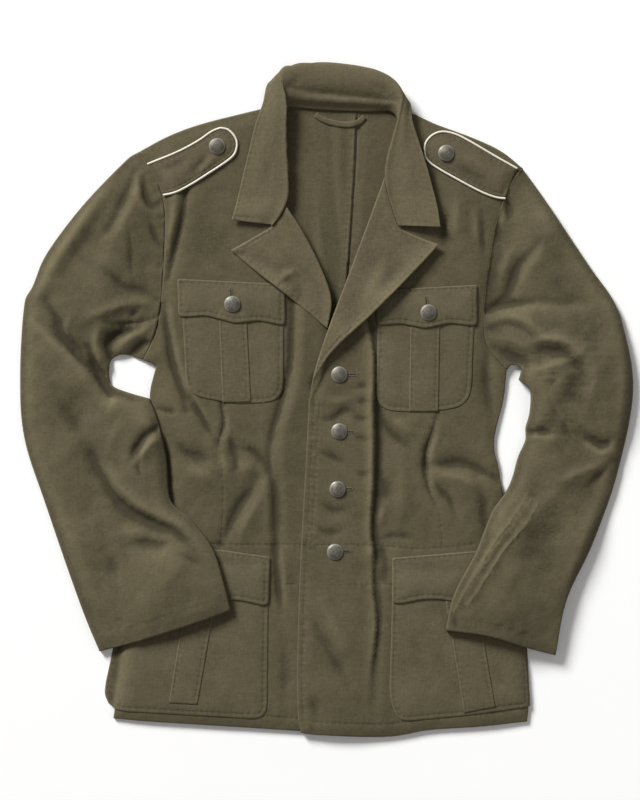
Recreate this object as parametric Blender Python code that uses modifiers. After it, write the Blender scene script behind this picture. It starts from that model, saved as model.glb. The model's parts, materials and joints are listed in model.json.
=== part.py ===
"""Field tunic in cotton twill, laid flat and face up with both sleeves bent over the front.

Each pattern piece is a closed cloth wall of its own. The seam tables give the sewn lines in
millimetres, seen from above, with x to the wearer's left and y towards the collar. A panel is cut
along its seam lines, is given its folds, and is then lowered onto the pieces that already lie there.
The wearer's right side has negative x.
"""

import math
from collections import namedtuple

import bmesh
import bpy
import numpy as np
from mathutils import Vector
from mathutils.bvhtree import BVHTree
from mathutils.geometry import delaunay_2d_cdt

MM = 0.001

# Driving sizes, in millimetres
TWILL = 1.6  # body cloth with its turned seam allowances
PATCH = 1.3  # pocket bags and box pleats
TWO_PLY = 1.8  # flaps, lapels and shoulder straps
COLLAR_CLOTH = 2.2  # two plies and the stiffener between them
SEAM_GAP = 0.3  # between pieces that are sewn edge to edge
LAY_GAP = 0.45  # between a piece and what it lies on
BODY_LOFT = 3.2  # air between back and front, away from the folded edges
SLEEVE_LOFT = 3.4
EDGE_ROUND = 26.0  # how far in from a folded edge the cloth still rounds down
EDGE_STEP = 14.0  # spacing of the points along a cut edge
INNER_STEP = 7.0  # the same on the inner edge of a sleeve, where it bends most
ROLL_LIFT = 3.2  # how far a lapel stands up at its roll line
ROLL_WIDTH = 13.0
COLLAR_REST = 0.2  # more air below the collar than between other pieces
BUTTON_RADIUS = 9.4
BUTTON_DOME = 3.4
BUTTON_RISE = 1.3  # length of the shank that shows
PIPING_RADIUS = 1.1

At = namedtuple("At", "x y")
Turn = namedtuple("Turn", "x y")  # where a seam line turns sharply
Corner = namedtuple("Corner", "x y radius")
Fold = namedtuple("Fold", "x0 y0 x1 y1 rise width")
CollarSection = namedtuple(
    "CollarSection", "seam_x seam_y seam_z ridge_x ridge_y ridge_z fall_x fall_y fall_z")
Pleat = namedtuple("Pleat", "top_left top_right bottom_right bottom_left")

# ---------------------------------------------------------------- seam tables (x, y)

SHOULDER_FOLD = {
    "right": [At(-64, 347), At(-93, 340), At(-148, 326), At(-186, 312), At(-220, 294)],
    "left": [At(89, 343), At(101, 339), At(129, 326), At(167, 312), At(201, 297), At(221, 283),
             At(231, 274)],
}
ARMHOLE = {
    "right": [At(-220, 294), At(-203, 266), At(-192, 230), At(-191, 195), At(-195, 123), At(-203, 78),
              At(-217, 47.5)],
    "left": [At(231, 274), At(219, 256), At(203, 218), At(195, 177), At(187, 120), At(189, 68),
             At(213, 36)],
}
SIDE_SEAM = {
    "right": [At(-217, 47.5), Turn(-201, 41), At(-206, 22), At(-209, 4), At(-208, -35), At(-221, -165),
              At(-252, -376)],
    "left": [At(213, 36), At(209, 0), At(198, -50), At(205, -90), At(227, -236), At(238, -350),
             At(237, -380)],
}
HEM = {
    "right": [At(-252, -376), At(-208, -380), At(-96, -387), At(-34, -391), At(40, -395)],
    "left": [At(237, -380), At(181, -386), At(122, -390), At(69, -398), At(-17, -395), At(-30, -393)],
}
CENTRE_BACK = [At(37, 346), At(35, 280), At(27, 160), At(12, -120), At(-4, -392)]
BACK_NECK = {
    "right": [At(37, 346), At(-10, 349), At(-44, 350), At(-64, 347)],
    "left": [At(37, 346), At(69, 345), At(89, 343)],
}
FRONT_NECK = {
    "right": [At(-64, 347), At(-58, 300), At(-53, 262), At(-47, 228)],
    "left": [At(89, 343), At(84, 315), At(77, 290), At(68, 262)],
}
ROLL_LINE = {
    "right": [At(-47, 228), At(-27, 197), At(-5, 153), At(6, 118), At(2, 86)],
    "left": [At(68, 262), At(49, 210), At(24, 143), At(3, 87), At(-14, 35), At(-21, -2)],
}
LAPEL_EDGE = {
    "right": [At(-113, 177), At(-90, 157), At(-47, 123), At(-23, 104), At(2, 83)],
    "left": [At(133, 183), At(108, 156), At(57, 104), At(11, 61), At(-12, 28), At(-21, -2)],
}
LAPEL_TOP = {
    "right": [At(-65, 204.5), At(-88, 191), At(-113, 177)],
    "left": [At(86, 203), At(108, 192.5), At(133, 183)],
}
GORGE = {
    "right": [At(-65, 204.5), At(-55, 216), At(-47, 228)],
    "left": [At(86, 203), At(77, 228), At(68, 262)],
}
FRONT_EDGE_LEFT = [At(-21, -2), At(-24, -60), At(-31, -189), At(-35, -310), At(-34, -372), At(-30, -393)]
UNDERLAP_EDGE = [At(2, 86), At(14, 45), At(24, -20), At(32, -190), At(40, -395)]
SLEEVE_OUTER = {
    "right": [At(-220, 294), At(-237, 283), At(-290, 227), At(-331, 172), At(-346, 136), At(-357, 112),
              At(-362, 28), At(-357, -45), At(-331, -126), At(-291, -241), At(-268, -297)],
    "left": [At(231, 274), At(255, 241), At(312, 156), At(336, 122), At(350, 88), At(362, 12),
             At(344, -85), At(314, -170), At(283, -236), At(270, -301)],
}
CUFF = {
    "right": [At(-268, -297), At(-211, -281), At(-136, -256), At(-113, -247)],
    "left": [At(270, -301), At(239, -293), At(191, -278), At(140, -271)],
}
SLEEVE_INNER = {
    "right": [At(-113, -247), At(-120, -218), At(-134, -175), At(-161, -140), At(-184, -117),
              At(-189, -70), At(-199, -24), Turn(-209.5, 2), At(-231, 8), At(-250, 15), At(-256, 22),
              At(-256, 43), At(-248, 52), At(-235, 53), At(-217, 47.5)],
    "left": [At(140, -271), At(150, -228), At(176, -178), At(195, -132), At(212, -108), At(220, -90),
             At(226, -68), At(235, -47), At(235, -33), At(240, -14), At(240, 12), Turn(227, 24),
             At(230, 38), At(220, 42), At(213, 36)],
}

# ---------------------------------------------------------------- patch tables (x, y, corner radius)

CHEST_BAG = {
    "right": [Corner(-172, 133, 2), Corner(-165, 6, 26), Corner(-107, -5, 60), Corner(-51, -2, 24),
              Corner(-50, 133, 2)],
    "left": [Corner(61, 124, 2), Corner(58, -12, 26), Corner(110, -15, 60), Corner(170, -8, 30),
             Corner(176, 130, 2)],
}
CHEST_FLAP = {
    "right": [Corner(-176, 143, 2), Corner(-175, 97, 7), Corner(-142, 99, 20), Corner(-108, 90, 12),
              Corner(-80, 93, 20), Corner(-48, 87, 6), Corner(-49, 137, 2)],
    "left": [Corner(57.5, 130, 2), Corner(58.5, 87.5, 7), Corner(88, 89.5, 20), Corner(116, 84, 10),
             Corner(146, 90, 20), Corner(178.5, 86.5, 7), Corner(178, 136, 2)],
}
CHEST_PLEAT = {
    "right": Pleat(At(-127, 100), At(-94, 100), At(-89, -2.5), At(-123, -3)),
    "left": Pleat(At(99, 98), At(134, 98), At(132, -13.5), At(97, -13.5)),
}
SKIRT_BAG = {
    "right": [Corner(-226, -195, 2), Corner(-253, -295, 30), Corner(-268, -366, 30), Corner(-70, -377, 18),
              Corner(-68, -195, 2)],
    "left": [Corner(78, -201, 2), Corner(74, -345, 30), Corner(82, -380, 18), Corner(160, -373, 60),
             Corner(241, -362, 3), Corner(236, -260, 60), Corner(222, -201, 2)],
}
SKIRT_FLAP = {
    "right": [Corner(-206, -181, 2), Corner(-213, -236, 3), Corner(-104, -236, 60), Corner(-68, -244, 7),
              Corner(-66, -185, 2), Corner(-128, -176, 60)],
    "left": [Corner(77, -186, 2), Corner(77, -242, 8), Corner(122, -234, 60), Corner(216, -246, 3),
             Corner(211, -175, 2)],
}
SKIRT_PLEAT = {
    "right": Pleat(At(-166, -232), At(-130, -232), At(-152, -359), At(-186, -357)),
    "left": Pleat(At(140, -236), At(178, -238), At(199, -362), At(162, -369)),
}
STRAP = {
    "right": [At(-211, 277), At(-176, 291), At(-150, 305), At(-134, 316), At(-121, 319.5), At(-110, 311),
              At(-107, 300), At(-113, 287), At(-142, 267), At(-163, 254), At(-179, 246), At(-193, 243)],
    "left": [At(224, 272), At(199, 286), At(163, 307), At(146, 314), At(132, 314.5), At(120, 306),
             At(117, 294), At(124, 280), At(163, 257), At(188, 244.5), At(202, 240), At(211, 239)],
}
LOOP_PATH = [At(-13, 338), At(-5, 332), At(8, 327.5), At(24, 325.5), At(37, 327.5), At(45, 335)]
LOOP_WIDTH = 7.5

FRONT_BUTTONS = [At(15, 30), At(15, -37), At(13, -105), At(10, -179)]
CHEST_BUTTONS = {"right": At(-111, 113), "left": At(120, 103)}
STRAP_BUTTONS = {"right": At(-129, 299), "left": At(141, 291)}

# ---------------------------------------------------------------- folds (from, to, rise, half width)

BODY_FOLDS = [
    Fold(-30, 115, -68, -90, 3.0, 20),  # beside the front edge, below the right lapel
    Fold(55, 70, 60, -220, 3.6, 17),  # beside the buttons
    Fold(58, -220, 52, -330, 3.0, 16),
    Fold(-122, -20, -118, -165, 2.6, 15),  # under the right chest pocket
    Fold(130, -30, 128, -160, 2.6, 15),  # under the left chest pocket
    Fold(-172, 240, -186, 130, 3.2, 20),  # in front of the right armhole
    Fold(160, 235, 176, 140, 3.4, 22),  # in front of the left armhole
    Fold(-196, 20, -150, -90, 3.0, 22),  # drawn up at the right side
    Fold(190, -60, 165, -160, 3.0, 20),  # drawn up at the left side
    Fold(-45, -235, -52, -370, 2.6, 20),
    Fold(20, -230, 5, -380, 2.4, 22),
]
SLEEVE_FOLDS = [
    Fold(-232, 225, -285, 95, 5.0, 30),  # right upper arm
    Fold(-315, 150, -330, 30, 4.0, 26),
    Fold(-265, 50, -335, -10, 5.0, 20),  # right elbow
    Fold(-250, -5, -320, -75, 5.0, 20),
    Fold(-215, -30, -285, -190, 4.0, 24),
    Fold(-170, -150, -205, -255, 4.0, 22),
    Fold(228, 205, 262, 90, 5.0, 28),  # left upper arm
    Fold(215, 80, 320, 95, 4.0, 22),
    Fold(262, 40, 345, 60, 5.0, 22),  # left elbow
    Fold(262, -10, 340, -30, 5.0, 20),
    Fold(255, -60, 300, -160, 4.5, 24),
    Fold(225, -130, 205, -255, 4.0, 22),
]

# ---------------------------------------------------------------- collar, a row for each section

COLLAR_SECTIONS = [
    CollarSection(-65.5, 204.5, 5.5, -63.5, 206.5, 9.0, -112, 212, 8.0),  # notch, wearer's right
    CollarSection(-56, 217, 5.5, -54, 219, 10.5, -109, 222, 8.5),
    CollarSection(-48, 238, 6.0, -45, 239, 13.0, -104, 242, 9.0),  # roll line begins
    CollarSection(-48, 262, 6.5, -44.5, 262, 16.0, -99, 263, 9.0),
    CollarSection(-50, 295, 7.0, -46.5, 295, 19.5, -92, 292, 9.5),
    CollarSection(-51, 325, 7.5, -47, 327, 21.5, -84, 325, 9.5),
    CollarSection(-50, 341, 6.5, -47, 352, 22.5, -75.5, 349, 8.0),  # side of the neck
    CollarSection(-46, 346, 5.0, -52, 385, 20.0, -66, 374, 4.5),
    CollarSection(-36, 346, 3.6, -37, 394.5, 17.0, -48, 372, 2.4),
    CollarSection(-15, 344, 3.4, -12, 397.5, 15.5, -17, 366, 1.6),
    CollarSection(20, 342, 3.4, 22, 395.5, 15.0, 20, 363, 1.6),  # centre back
    CollarSection(50, 341, 3.4, 55, 390, 15.5, 54, 362, 1.6),
    CollarSection(66, 342, 3.6, 79, 376.5, 18.0, 85, 358, 2.4),
    CollarSection(76, 341, 5.0, 89, 360, 21.0, 98, 350, 5.0),
    CollarSection(84, 332, 7.0, 85, 335, 22.0, 101, 329, 9.0),  # side of the neck
    CollarSection(79, 306, 7.0, 77, 305, 20.0, 110.5, 299, 9.5),
    CollarSection(73, 284, 6.5, 71, 283, 17.5, 118, 275, 9.0),
    CollarSection(71, 263, 6.5, 69, 262, 15.0, 124, 253, 9.0),  # roll line begins
    CollarSection(75, 240, 5.5, 73, 239, 11.5, 130, 230, 8.5),
    CollarSection(86, 205, 5.5, 84.5, 205.5, 9.0, 134, 203.5, 8.0),  # notch, wearer's left
]
COLLAR_STAND = [(0.4, 0.12), (0.8, 0.07)]  # share of the way from seam to ridge, and its bulge there
COLLAR_FALL = [(0.14, -0.4), (0.38, 0.6), (0.7, 0.0)]  # share from ridge to fall, and its lift in mm


# ---------------------------------------------------------------- plan outlines

def smooth(points, step=EDGE_STEP):
    """A curve through the rows of a seam table, with points about a step apart and a corner at
    each Turn."""
    turns = [i for i, row in enumerate(points) if isinstance(row, Turn)]
    stops = [0, *turns, len(points) - 1]
    return np.vstack([curve(points[a : b + 1], step)[a > 0 :] for a, b in zip(stops, stops[1:])])


def curve(points, step):
    """A Catmull-Rom curve through the points."""
    rows = np.array([tuple(row) for row in points], float)
    ends = np.vstack([2 * rows[0] - rows[1], rows, 2 * rows[-1] - rows[-2]])
    dense = []
    for a, b, c, d in zip(ends, ends[1:], ends[2:], ends[3:]):
        t = np.linspace(0, 1, 16, endpoint=False)[:, None]
        bend, twist = 2 * a - 5 * b + 4 * c - d, 3 * b - a - 3 * c + d
        dense.append(0.5 * (2 * b + (c - a) * t + bend * t**2 + twist * t**3))
    dense = np.vstack(dense + [rows[-1:]])
    along = np.concatenate([[0], np.cumsum(np.linalg.norm(np.diff(dense, axis=0), axis=1))])
    count = max(1, round(along[-1] / step))
    where = np.linspace(0, along[-1], count + 1)
    return np.column_stack([np.interp(where, along, dense[:, i]) for i in range(rows.shape[1])])


def rounded(corners, step=EDGE_STEP):
    """A closed outline with an arc of the given radius at each corner and straight runs between."""
    outline = []
    count = len(corners)
    for i, corner in enumerate(corners):
        here = np.array([corner.x, corner.y], float)
        before = np.array(corners[i - 1][:2], float) - here
        after = np.array(corners[(i + 1) % count][:2], float) - here
        reach, onward = np.linalg.norm(before), np.linalg.norm(after)
        half = 0.5 * math.acos(np.clip(before @ after / reach / onward, -1, 1))
        back = min(corner.radius / math.tan(half), 0.45 * reach, 0.45 * onward)
        start = here + before / reach * back
        end = here + after / onward * back
        pieces = max(1, round((math.pi - 2 * half) / math.radians(24)))
        for k in range(pieces + 1):
            t = k / pieces
            outline.append((1 - t) ** 2 * start + 2 * t * (1 - t) * here + t**2 * end)
    return spaced(np.array(outline), step)


def spaced(outline, step):
    """The same closed outline with points added on runs that are longer than a step."""
    points = []
    for a, b in zip(outline, np.roll(outline, -1, axis=0)):
        pieces = max(1, round(np.linalg.norm(b - a) / step))
        points += [a + (b - a) * k / pieces for k in range(pieces)]
    return np.array(points)


def closed(*runs):
    """One anticlockwise outline from seam lines that follow each other."""
    points = np.vstack(runs)
    apart = np.linalg.norm(points - np.roll(points, 1, axis=0), axis=1) > 1.5
    points = points[apart]
    x, y = points.T
    area = np.sum(x * np.roll(y, -1) - np.roll(x, -1) * y)
    return points if area > 0 else points[::-1]


def inset(outline, amount):
    """The outline moved inwards, for the gap at a seam."""
    edge = np.roll(outline, -1, axis=0) - outline
    normal = np.column_stack([-edge[:, 1], edge[:, 0]]) / np.linalg.norm(edge, axis=1)[:, None]
    inward = normal + np.roll(normal, 1, axis=0)
    inward /= np.maximum(np.sum(inward * normal, axis=1), 0.5)[:, None]
    return outline + inward * amount


def inside(points, outline):
    x, y = points.T
    hits = np.zeros(len(points), bool)
    for (ax, ay), (bx, by) in zip(outline, np.roll(outline, -1, axis=0)):
        if ay != by:
            hits ^= ((ay > y) != (by > y)) & (x < (bx - ax) * (y - ay) / (by - ay) + ax)
    return hits


def distance(points, line, is_closed=False):
    """The distance in plan of each point from a line."""
    best = np.full(len(points), 1e9)
    ends = np.roll(line, -1, axis=0) if is_closed else line[1:]
    for a, b in zip(line, ends):
        run = b - a
        t = np.clip(((points - a) @ run) / max(run @ run, 1e-9), 0, 1)
        best = np.minimum(best, np.linalg.norm(points - a - t[:, None] * run, axis=1))
    return best


def cut(outline, spacing):
    """Points and triangles of a flat piece of cloth: its edge, and a hexagonal grid inside it."""
    low, high = outline.min(axis=0), outline.max(axis=0)
    rows = np.arange(low[1], high[1], spacing * math.sqrt(3) / 2)
    columns = np.arange(low[0], high[0], spacing)
    grid = np.array([(x + spacing / 2 * (j % 2), y) for j, y in enumerate(rows) for x in columns])
    grid = grid[inside(grid, outline)]
    if len(grid):
        grid = grid[distance(grid, outline, True) > 0.5 * spacing]
    points = np.vstack([outline, grid]) if len(grid) else outline
    ring = list(range(len(outline)))
    result = delaunay_2d_cdt([Vector(p) for p in points], [], [ring], 1, 1e-5)
    return np.array([tuple(v) for v in result[0]]), np.array(result[2])


# ---------------------------------------------------------------- cloth heights

FADE = 0.15  # how far past its ends a fold dies away, as a share of its length
SHARPNESS = 2.5  # how quickly a fold falls off across its width


def fold_rise(points, folds):
    """How far the folds lift the cloth at each point."""
    rise = np.zeros(len(points))
    for fold in folds:
        start, end = np.array([fold.x0, fold.y0], float), np.array([fold.x1, fold.y1], float)
        run = end - start
        t = ((points - start) @ run) / (run @ run)
        across = np.abs((points - start) @ np.array([-run[1], run[0]])) / np.linalg.norm(run)
        along = np.clip(np.minimum(t, 1 - t) / (2 * FADE) + 0.5, 0, 1)
        rise += fold.rise * np.exp(-((across / fold.width) ** 2) * SHARPNESS) * ease(along)
    return rise


def ease(t):
    """From 0 to 1 with level ends."""
    return np.sin(t * math.pi / 2) ** 2


def rounding(points, edges, reach=EDGE_ROUND):
    """0 on a folded edge, rising to 1 a little way in."""
    nearest = np.minimum.reduce([distance(points, edge) for edge in edges])
    return np.sin(np.clip(nearest / reach, 0, 1) * math.pi / 2) ** 0.8


class Pile:
    """The pieces laid so far, in millimetres, and their tops as seen from above."""

    def __init__(self):
        self.points, self.faces = [], []
        self.rims = np.zeros((0, 2))
        self.tree = None

    def add(self, points, faces, rim=None):
        if rim is not None:
            self.rims = np.vstack([self.rims, spaced(rim, 1.0)])
        self.faces += [tuple(int(i) + len(self.points) for i in face) for face in faces]
        self.points += [Vector(p) for p in points]
        self.tree = BVHTree.FromPolygons(self.points, self.faces)

    def top(self, x, y):
        if self.tree is None:
            return None
        hit = self.tree.ray_cast(Vector((x, y, 500.0)), Vector((0, 0, -1)))[0]
        return None if hit is None else hit.z

    def tops(self, points, margin=0.7, outline=None):
        """The highest top at or just beside each point, 0 where only the table is there.

        With an outline, only what lies within it counts, so a neighbour across a seam doesn't."""
        found = np.zeros(len(points))
        for dx, dy in ((0, 0), (margin, 0), (-margin, 0), (0, margin), (0, -margin)):
            moved = points + (dx, dy)
            counts = np.ones(len(points), bool)
            if outline is not None and (dx or dy):
                counts = inside(moved, outline)
            for i in np.where(counts)[0]:
                z = self.top(*moved[i])
                if z is not None and z + LAY_GAP > found[i]:
                    found[i] = z + LAY_GAP
        return found


def barycentric(samples, points, triangles):
    """For each sample in the piece: its triangle's corners and its weights there."""
    corner = np.full((len(samples), 3), -1)
    weight = np.zeros((len(samples), 3))
    for a, b, c in triangles:
        pa, pb, pc = points[a], points[b], points[c]
        low, high = np.min([pa, pb, pc], axis=0) - 0.01, np.max([pa, pb, pc], axis=0) + 0.01
        near = np.where(np.all((samples >= low) & (samples <= high), axis=1) & (corner[:, 0] < 0))[0]
        if not len(near):
            continue
        frame = np.array([[pa[0], pb[0], pc[0]], [pa[1], pb[1], pc[1]], [1, 1, 1]])
        w = np.linalg.solve(frame, np.vstack([samples[near].T, np.ones(len(near))])).T
        good = np.all(w > -1e-3, axis=1)
        corner[near[good]] = (a, b, c)
        weight[near[good]] = w[good]
    found = corner[:, 0] >= 0
    return samples[found], corner[found], weight[found]


def settle(points, triangles, outline, wanted, pile, bridging=2, sample_step=3.0):
    """Heights of a piece's underside: as wanted, but clear of everything it lies on."""
    low, high = points.min(axis=0), points.max(axis=0)
    across, up = np.meshgrid(*(np.arange(a, b, sample_step) for a, b in zip(low, high)))
    grid = np.column_stack([across.ravel(), up.ravel()])
    edge = spaced(outline, 1.5)
    corners = np.array([(v.x, v.y) for v in pile.points]) if pile.points else np.zeros((0, 2))
    beneath = np.vstack([corners, pile.rims])
    samples = np.vstack([grid[inside(grid, outline)], beneath[inside(beneath, outline)], edge, points])
    samples, corner, weight = barycentric(samples, points, triangles)
    need = pile.tops(samples, outline=outline)
    heights = np.array(wanted, float)
    links = np.vstack([triangles[:, [0, 1]], triangles[:, [1, 2]], triangles[:, [2, 0]]])
    for smoothing in range(bridging + 1):
        for _ in range(80):
            short = need - np.sum(weight * heights[corner], axis=1)
            if short.max(initial=0) < 0.01:
                break
            short = np.clip(short, 0, None)[:, None] * weight / np.sum(weight**2, axis=1)[:, None]
            lift = np.zeros(len(heights))
            np.maximum.at(lift, corner.ravel(), short.ravel())
            heights += lift
        if smoothing < bridging:
            total, count = np.zeros(len(heights)), np.zeros(len(heights))
            for a, b in (links.T, links.T[::-1]):
                np.add.at(total, a, heights[b])
                np.add.at(count, a, 1)
            heights = np.maximum(wanted, 0.5 * heights + 0.5 * total / np.maximum(count, 1))
    return heights


# ---------------------------------------------------------------- solids

PILE = Pile()


def finish(color, roughness=0.85, metallic=0.0):
    return {"color": color, "roughness": roughness, "metallic": metallic}


OLIVE = finish((0.095, 0.082, 0.050))
PIPING_WHITE = finish((0.72, 0.70, 0.64), 0.7)
BUTTON_GREY = finish((0.17, 0.16, 0.13), 0.5, 0.6)


def dress(obj, look):
    material = bpy.data.materials.new(obj.name)
    material.use_nodes = True
    shader = material.node_tree.nodes["Principled BSDF"]
    shader.inputs["Base Color"].default_value = (*look["color"], 1)
    shader.inputs["Roughness"].default_value = look["roughness"]
    shader.inputs["Metallic"].default_value = look["metallic"]
    obj.data.materials.append(material)


def place(name, mesh, look):
    obj = bpy.data.objects.new(name, mesh)
    TUNIC.objects.link(obj)
    dress(obj, look)
    return obj


def wall(name, outline, points, triangles, bottom, thickness, look):
    """A closed wall of cloth from the flat piece and the heights of its underside."""
    count = len(points)
    low = np.column_stack([points, bottom])
    high = np.column_stack([points, bottom + thickness])
    bm = bmesh.new()
    verts = [bm.verts.new(Vector(p) * MM) for p in np.vstack([low, high])]
    for a, b, c in triangles:
        bm.faces.new((verts[a + count], verts[b + count], verts[c + count]))
        bm.faces.new((verts[c], verts[b], verts[a]))
    directed = {(t[i], t[(i + 1) % 3]) for t in triangles.tolist() for i in range(3)}
    for a, b in directed:
        if (b, a) not in directed:
            bm.faces.new((verts[a], verts[b], verts[b + count]))
            bm.faces.new((verts[a], verts[b + count], verts[a + count]))
    mesh = bpy.data.meshes.new(name)
    bm.to_mesh(mesh)
    bm.free()
    PILE.add(high, triangles, outline)
    return place(name, mesh, look)


def panel(name, outline, thickness, spacing, wanted, look=OLIVE, bridging=2):
    """Cuts a piece, lowers it onto the pile and gives it its wall."""
    outline = inset(outline, SEAM_GAP / 2)
    points, triangles = cut(outline, spacing)
    heights = settle(points, triangles, outline, wanted(points), PILE, bridging)
    return wall(name, outline, points, triangles, heights, thickness, look)


def flat(points):
    return np.zeros(len(points))


def back(side):
    neck = smooth(BACK_NECK[side])
    outline = closed(neck, smooth(SHOULDER_FOLD[side])[1:], smooth(ARMHOLE[side])[1:],
                     smooth(SIDE_SEAM[side])[1:], [SIDE_SEAM[side][-1], CENTRE_BACK[-1]],
                     smooth(CENTRE_BACK, 40)[::-1])
    panel(f"back_{side}", outline, TWILL, 60, flat)


def front(side):
    """The front hides under the lapel from its neck to the first button, and the left one laps over."""
    if side == "left":
        inner = [smooth(FRONT_EDGE_LEFT)[::-1], smooth(ROLL_LINE[side])[::-1]]
    else:
        inner = [smooth(UNDERLAP_EDGE)[::-1], smooth(ROLL_LINE[side])[::-1]]
    outline = closed(smooth(SHOULDER_FOLD[side]), smooth(ARMHOLE[side])[1:], smooth(SIDE_SEAM[side])[1:],
                     smooth(HEM[side])[1:], *[run[1:] for run in inner], smooth(FRONT_NECK[side])[::-1][1:])
    folded = [smooth(SHOULDER_FOLD[side]), smooth(SIDE_SEAM[side]), smooth(HEM[side])]
    roll = smooth(ROLL_LINE[side])

    def wanted(points):
        low = TWILL + SEAM_GAP + rounding(points, folded) * (BODY_LOFT + fold_rise(points, BODY_FOLDS))
        return low + 0.5 * rolled(points, roll)

    panel(f"front_{side}", outline, TWILL, 22, wanted)


def rolled(points, roll):
    """How far the cloth stands up beside a roll line."""
    return ROLL_LIFT * np.exp(-((distance(points, roll) / ROLL_WIDTH) ** 2))


def patch(name, outline, thickness, spacing, crown=0.0, crown_reach=20.0):
    """A piece sewn flat on what lies below it; a crown lifts its middle."""
    rim = inset(outline, SEAM_GAP / 2)

    def wanted(points):
        rounded_in = rounding(points, [np.vstack([rim, rim[:1]])], crown_reach)
        return PILE.tops(points, outline=outline) + crown * rounded_in

    panel(name, outline, thickness, spacing, wanted, bridging=0)


def lapel(side):
    outline = closed(smooth(ROLL_LINE[side]), smooth(LAPEL_EDGE[side])[::-1], smooth(LAPEL_TOP[side])[::-1],
                     smooth(GORGE[side]))
    roll = smooth(ROLL_LINE[side])

    def wanted(points):
        return PILE.tops(points, outline=outline) + rolled(points, roll)

    panel(f"lapel_{side}", outline, TWO_PLY, 16, wanted, bridging=1)


def sleeve_outline(side):
    return closed(smooth(SLEEVE_OUTER[side]), smooth(CUFF[side])[1:],
                  smooth(SLEEVE_INNER[side], INNER_STEP)[1:], smooth(ARMHOLE[side])[::-1][1:])


def sleeve(side):
    outline = sleeve_outline(side)
    folded = [smooth(SLEEVE_OUTER[side]), smooth(SLEEVE_INNER[side]), smooth(CUFF[side])]
    panel(f"sleeve_under_{side}", outline, TWILL, 24, flat, bridging=3)

    def wanted(points):
        lift = rounding(points, folded) * (SLEEVE_LOFT + fold_rise(points, SLEEVE_FOLDS))
        return PILE.tops(points, outline=outline) + lift

    panel(f"sleeve_upper_{side}", outline, TWILL, 21, wanted, bridging=0)


def pocket(name, bag, flap, pleat, crown):
    patch(f"{name}_pocket", rounded(bag), PATCH, 24, crown)
    patch(f"{name}_pleat", spaced(np.array(pleat, float)[::-1], 26), PATCH, 40)
    patch(f"{name}_flap", rounded(flap), TWO_PLY, 24, 0.8)


def strap(side):
    outline = closed(smooth(STRAP[side], 8))
    patch(f"shoulder_strap_{side}", outline, TWO_PLY, 30)
    piping(side, smooth(STRAP[side], 8))


def piping(side, rim):
    """A thin corded edge round the strap, open at the sleeve end."""
    direction = np.gradient(rim, axis=0)
    direction /= np.linalg.norm(direction, axis=1)[:, None]
    outward = np.column_stack([-direction[:, 1], direction[:, 0]])
    if np.sum((rim - rim.mean(axis=0)) * outward) < 0:
        outward = -outward
    path = rim + outward * (PIPING_RADIUS + SEAM_GAP)
    beside = [PILE.tops(path + outward * reach * PIPING_RADIUS) for reach in (0.55, 1.6)]
    below_strap = PILE.tops(path - outward * 3 * PIPING_RADIUS) - TWO_PLY - LAY_GAP
    seat = np.maximum.reduce([*beside, below_strap])
    wide = np.concatenate([seat[:1], seat, seat[-1:]])
    height = np.maximum.reduce([wide[:-2], wide[1:-1], wide[2:]]) + PIPING_RADIUS
    curve = bpy.data.curves.new(f"strap_piping_{side}", "CURVE")
    curve.dimensions = "3D"
    curve.bevel_depth = PIPING_RADIUS * MM
    curve.bevel_resolution = 1
    curve.use_fill_caps = True
    spline = curve.splines.new("POLY")
    spline.points.add(len(path) - 1)
    for point, (x, y), z in zip(spline.points, path, height):
        point.co = (x * MM, y * MM, z * MM, 1)
    obj = bpy.data.objects.new(curve.name, curve)
    TUNIC.objects.link(obj)
    dress(obj, PIPING_WHITE)
    ring = np.column_stack([path, height + PIPING_RADIUS])
    PILE.add(np.vstack([ring + (0, 0.01, 0), ring - (0, 0.01, 0)]),
             [(i, i + 1, len(ring) + i) for i in range(len(ring) - 1)])


def collar():
    """A lofted wall: stand, roll and fall at each section, from notch to notch round the back."""
    rows = smooth(COLLAR_SECTIONS, 30)
    grid = []
    for row in rows:
        seam, ridge, fall = row[0:3], row[3:6], row[6:9]
        leaning = np.hypot(*(ridge - seam)[:2])
        stand = [seam + share * (ridge - seam) + (0, 0, bulge * leaning + 1)
                 for share, bulge in COLLAR_STAND]
        turned = [ridge + share * (fall - ridge) + (0, 0, lift) for share, lift in COLLAR_FALL]
        grid.append([seam, *stand, ridge, *turned, fall])
    grid = np.array(grid)
    for section in grid:
        need = PILE.tops(section[:, :2], margin=6.0)
        section[:, 2] = np.maximum(section[:, 2], need + COLLAR_CLOTH / 2 + COLLAR_REST)
    stations, across = grid.shape[:2]
    bm = bmesh.new()
    verts = [[bm.verts.new(Vector(p) * MM) for p in section] for section in grid]
    for i in range(stations - 1):
        for j in range(across - 1):
            bm.faces.new((verts[i][j], verts[i][j + 1], verts[i + 1][j + 1], verts[i + 1][j]))
    bmesh.ops.triangulate(bm, faces=bm.faces)
    mesh = bpy.data.meshes.new("collar")
    bm.to_mesh(mesh)
    bm.free()
    obj = place("collar", mesh, OLIVE)
    shell = obj.modifiers.new("cloth", "SOLIDIFY")
    shell.thickness = COLLAR_CLOTH * MM
    shell.offset = 0
    points = grid.reshape(-1, 3) + (0, 0, COLLAR_CLOTH / 2)
    faces = [(i * across + j, i * across + j + 1, (i + 1) * across + j + 1, (i + 1) * across + j)
             for i in range(stations - 1) for j in range(across - 1)]
    PILE.add(points, faces)


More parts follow.
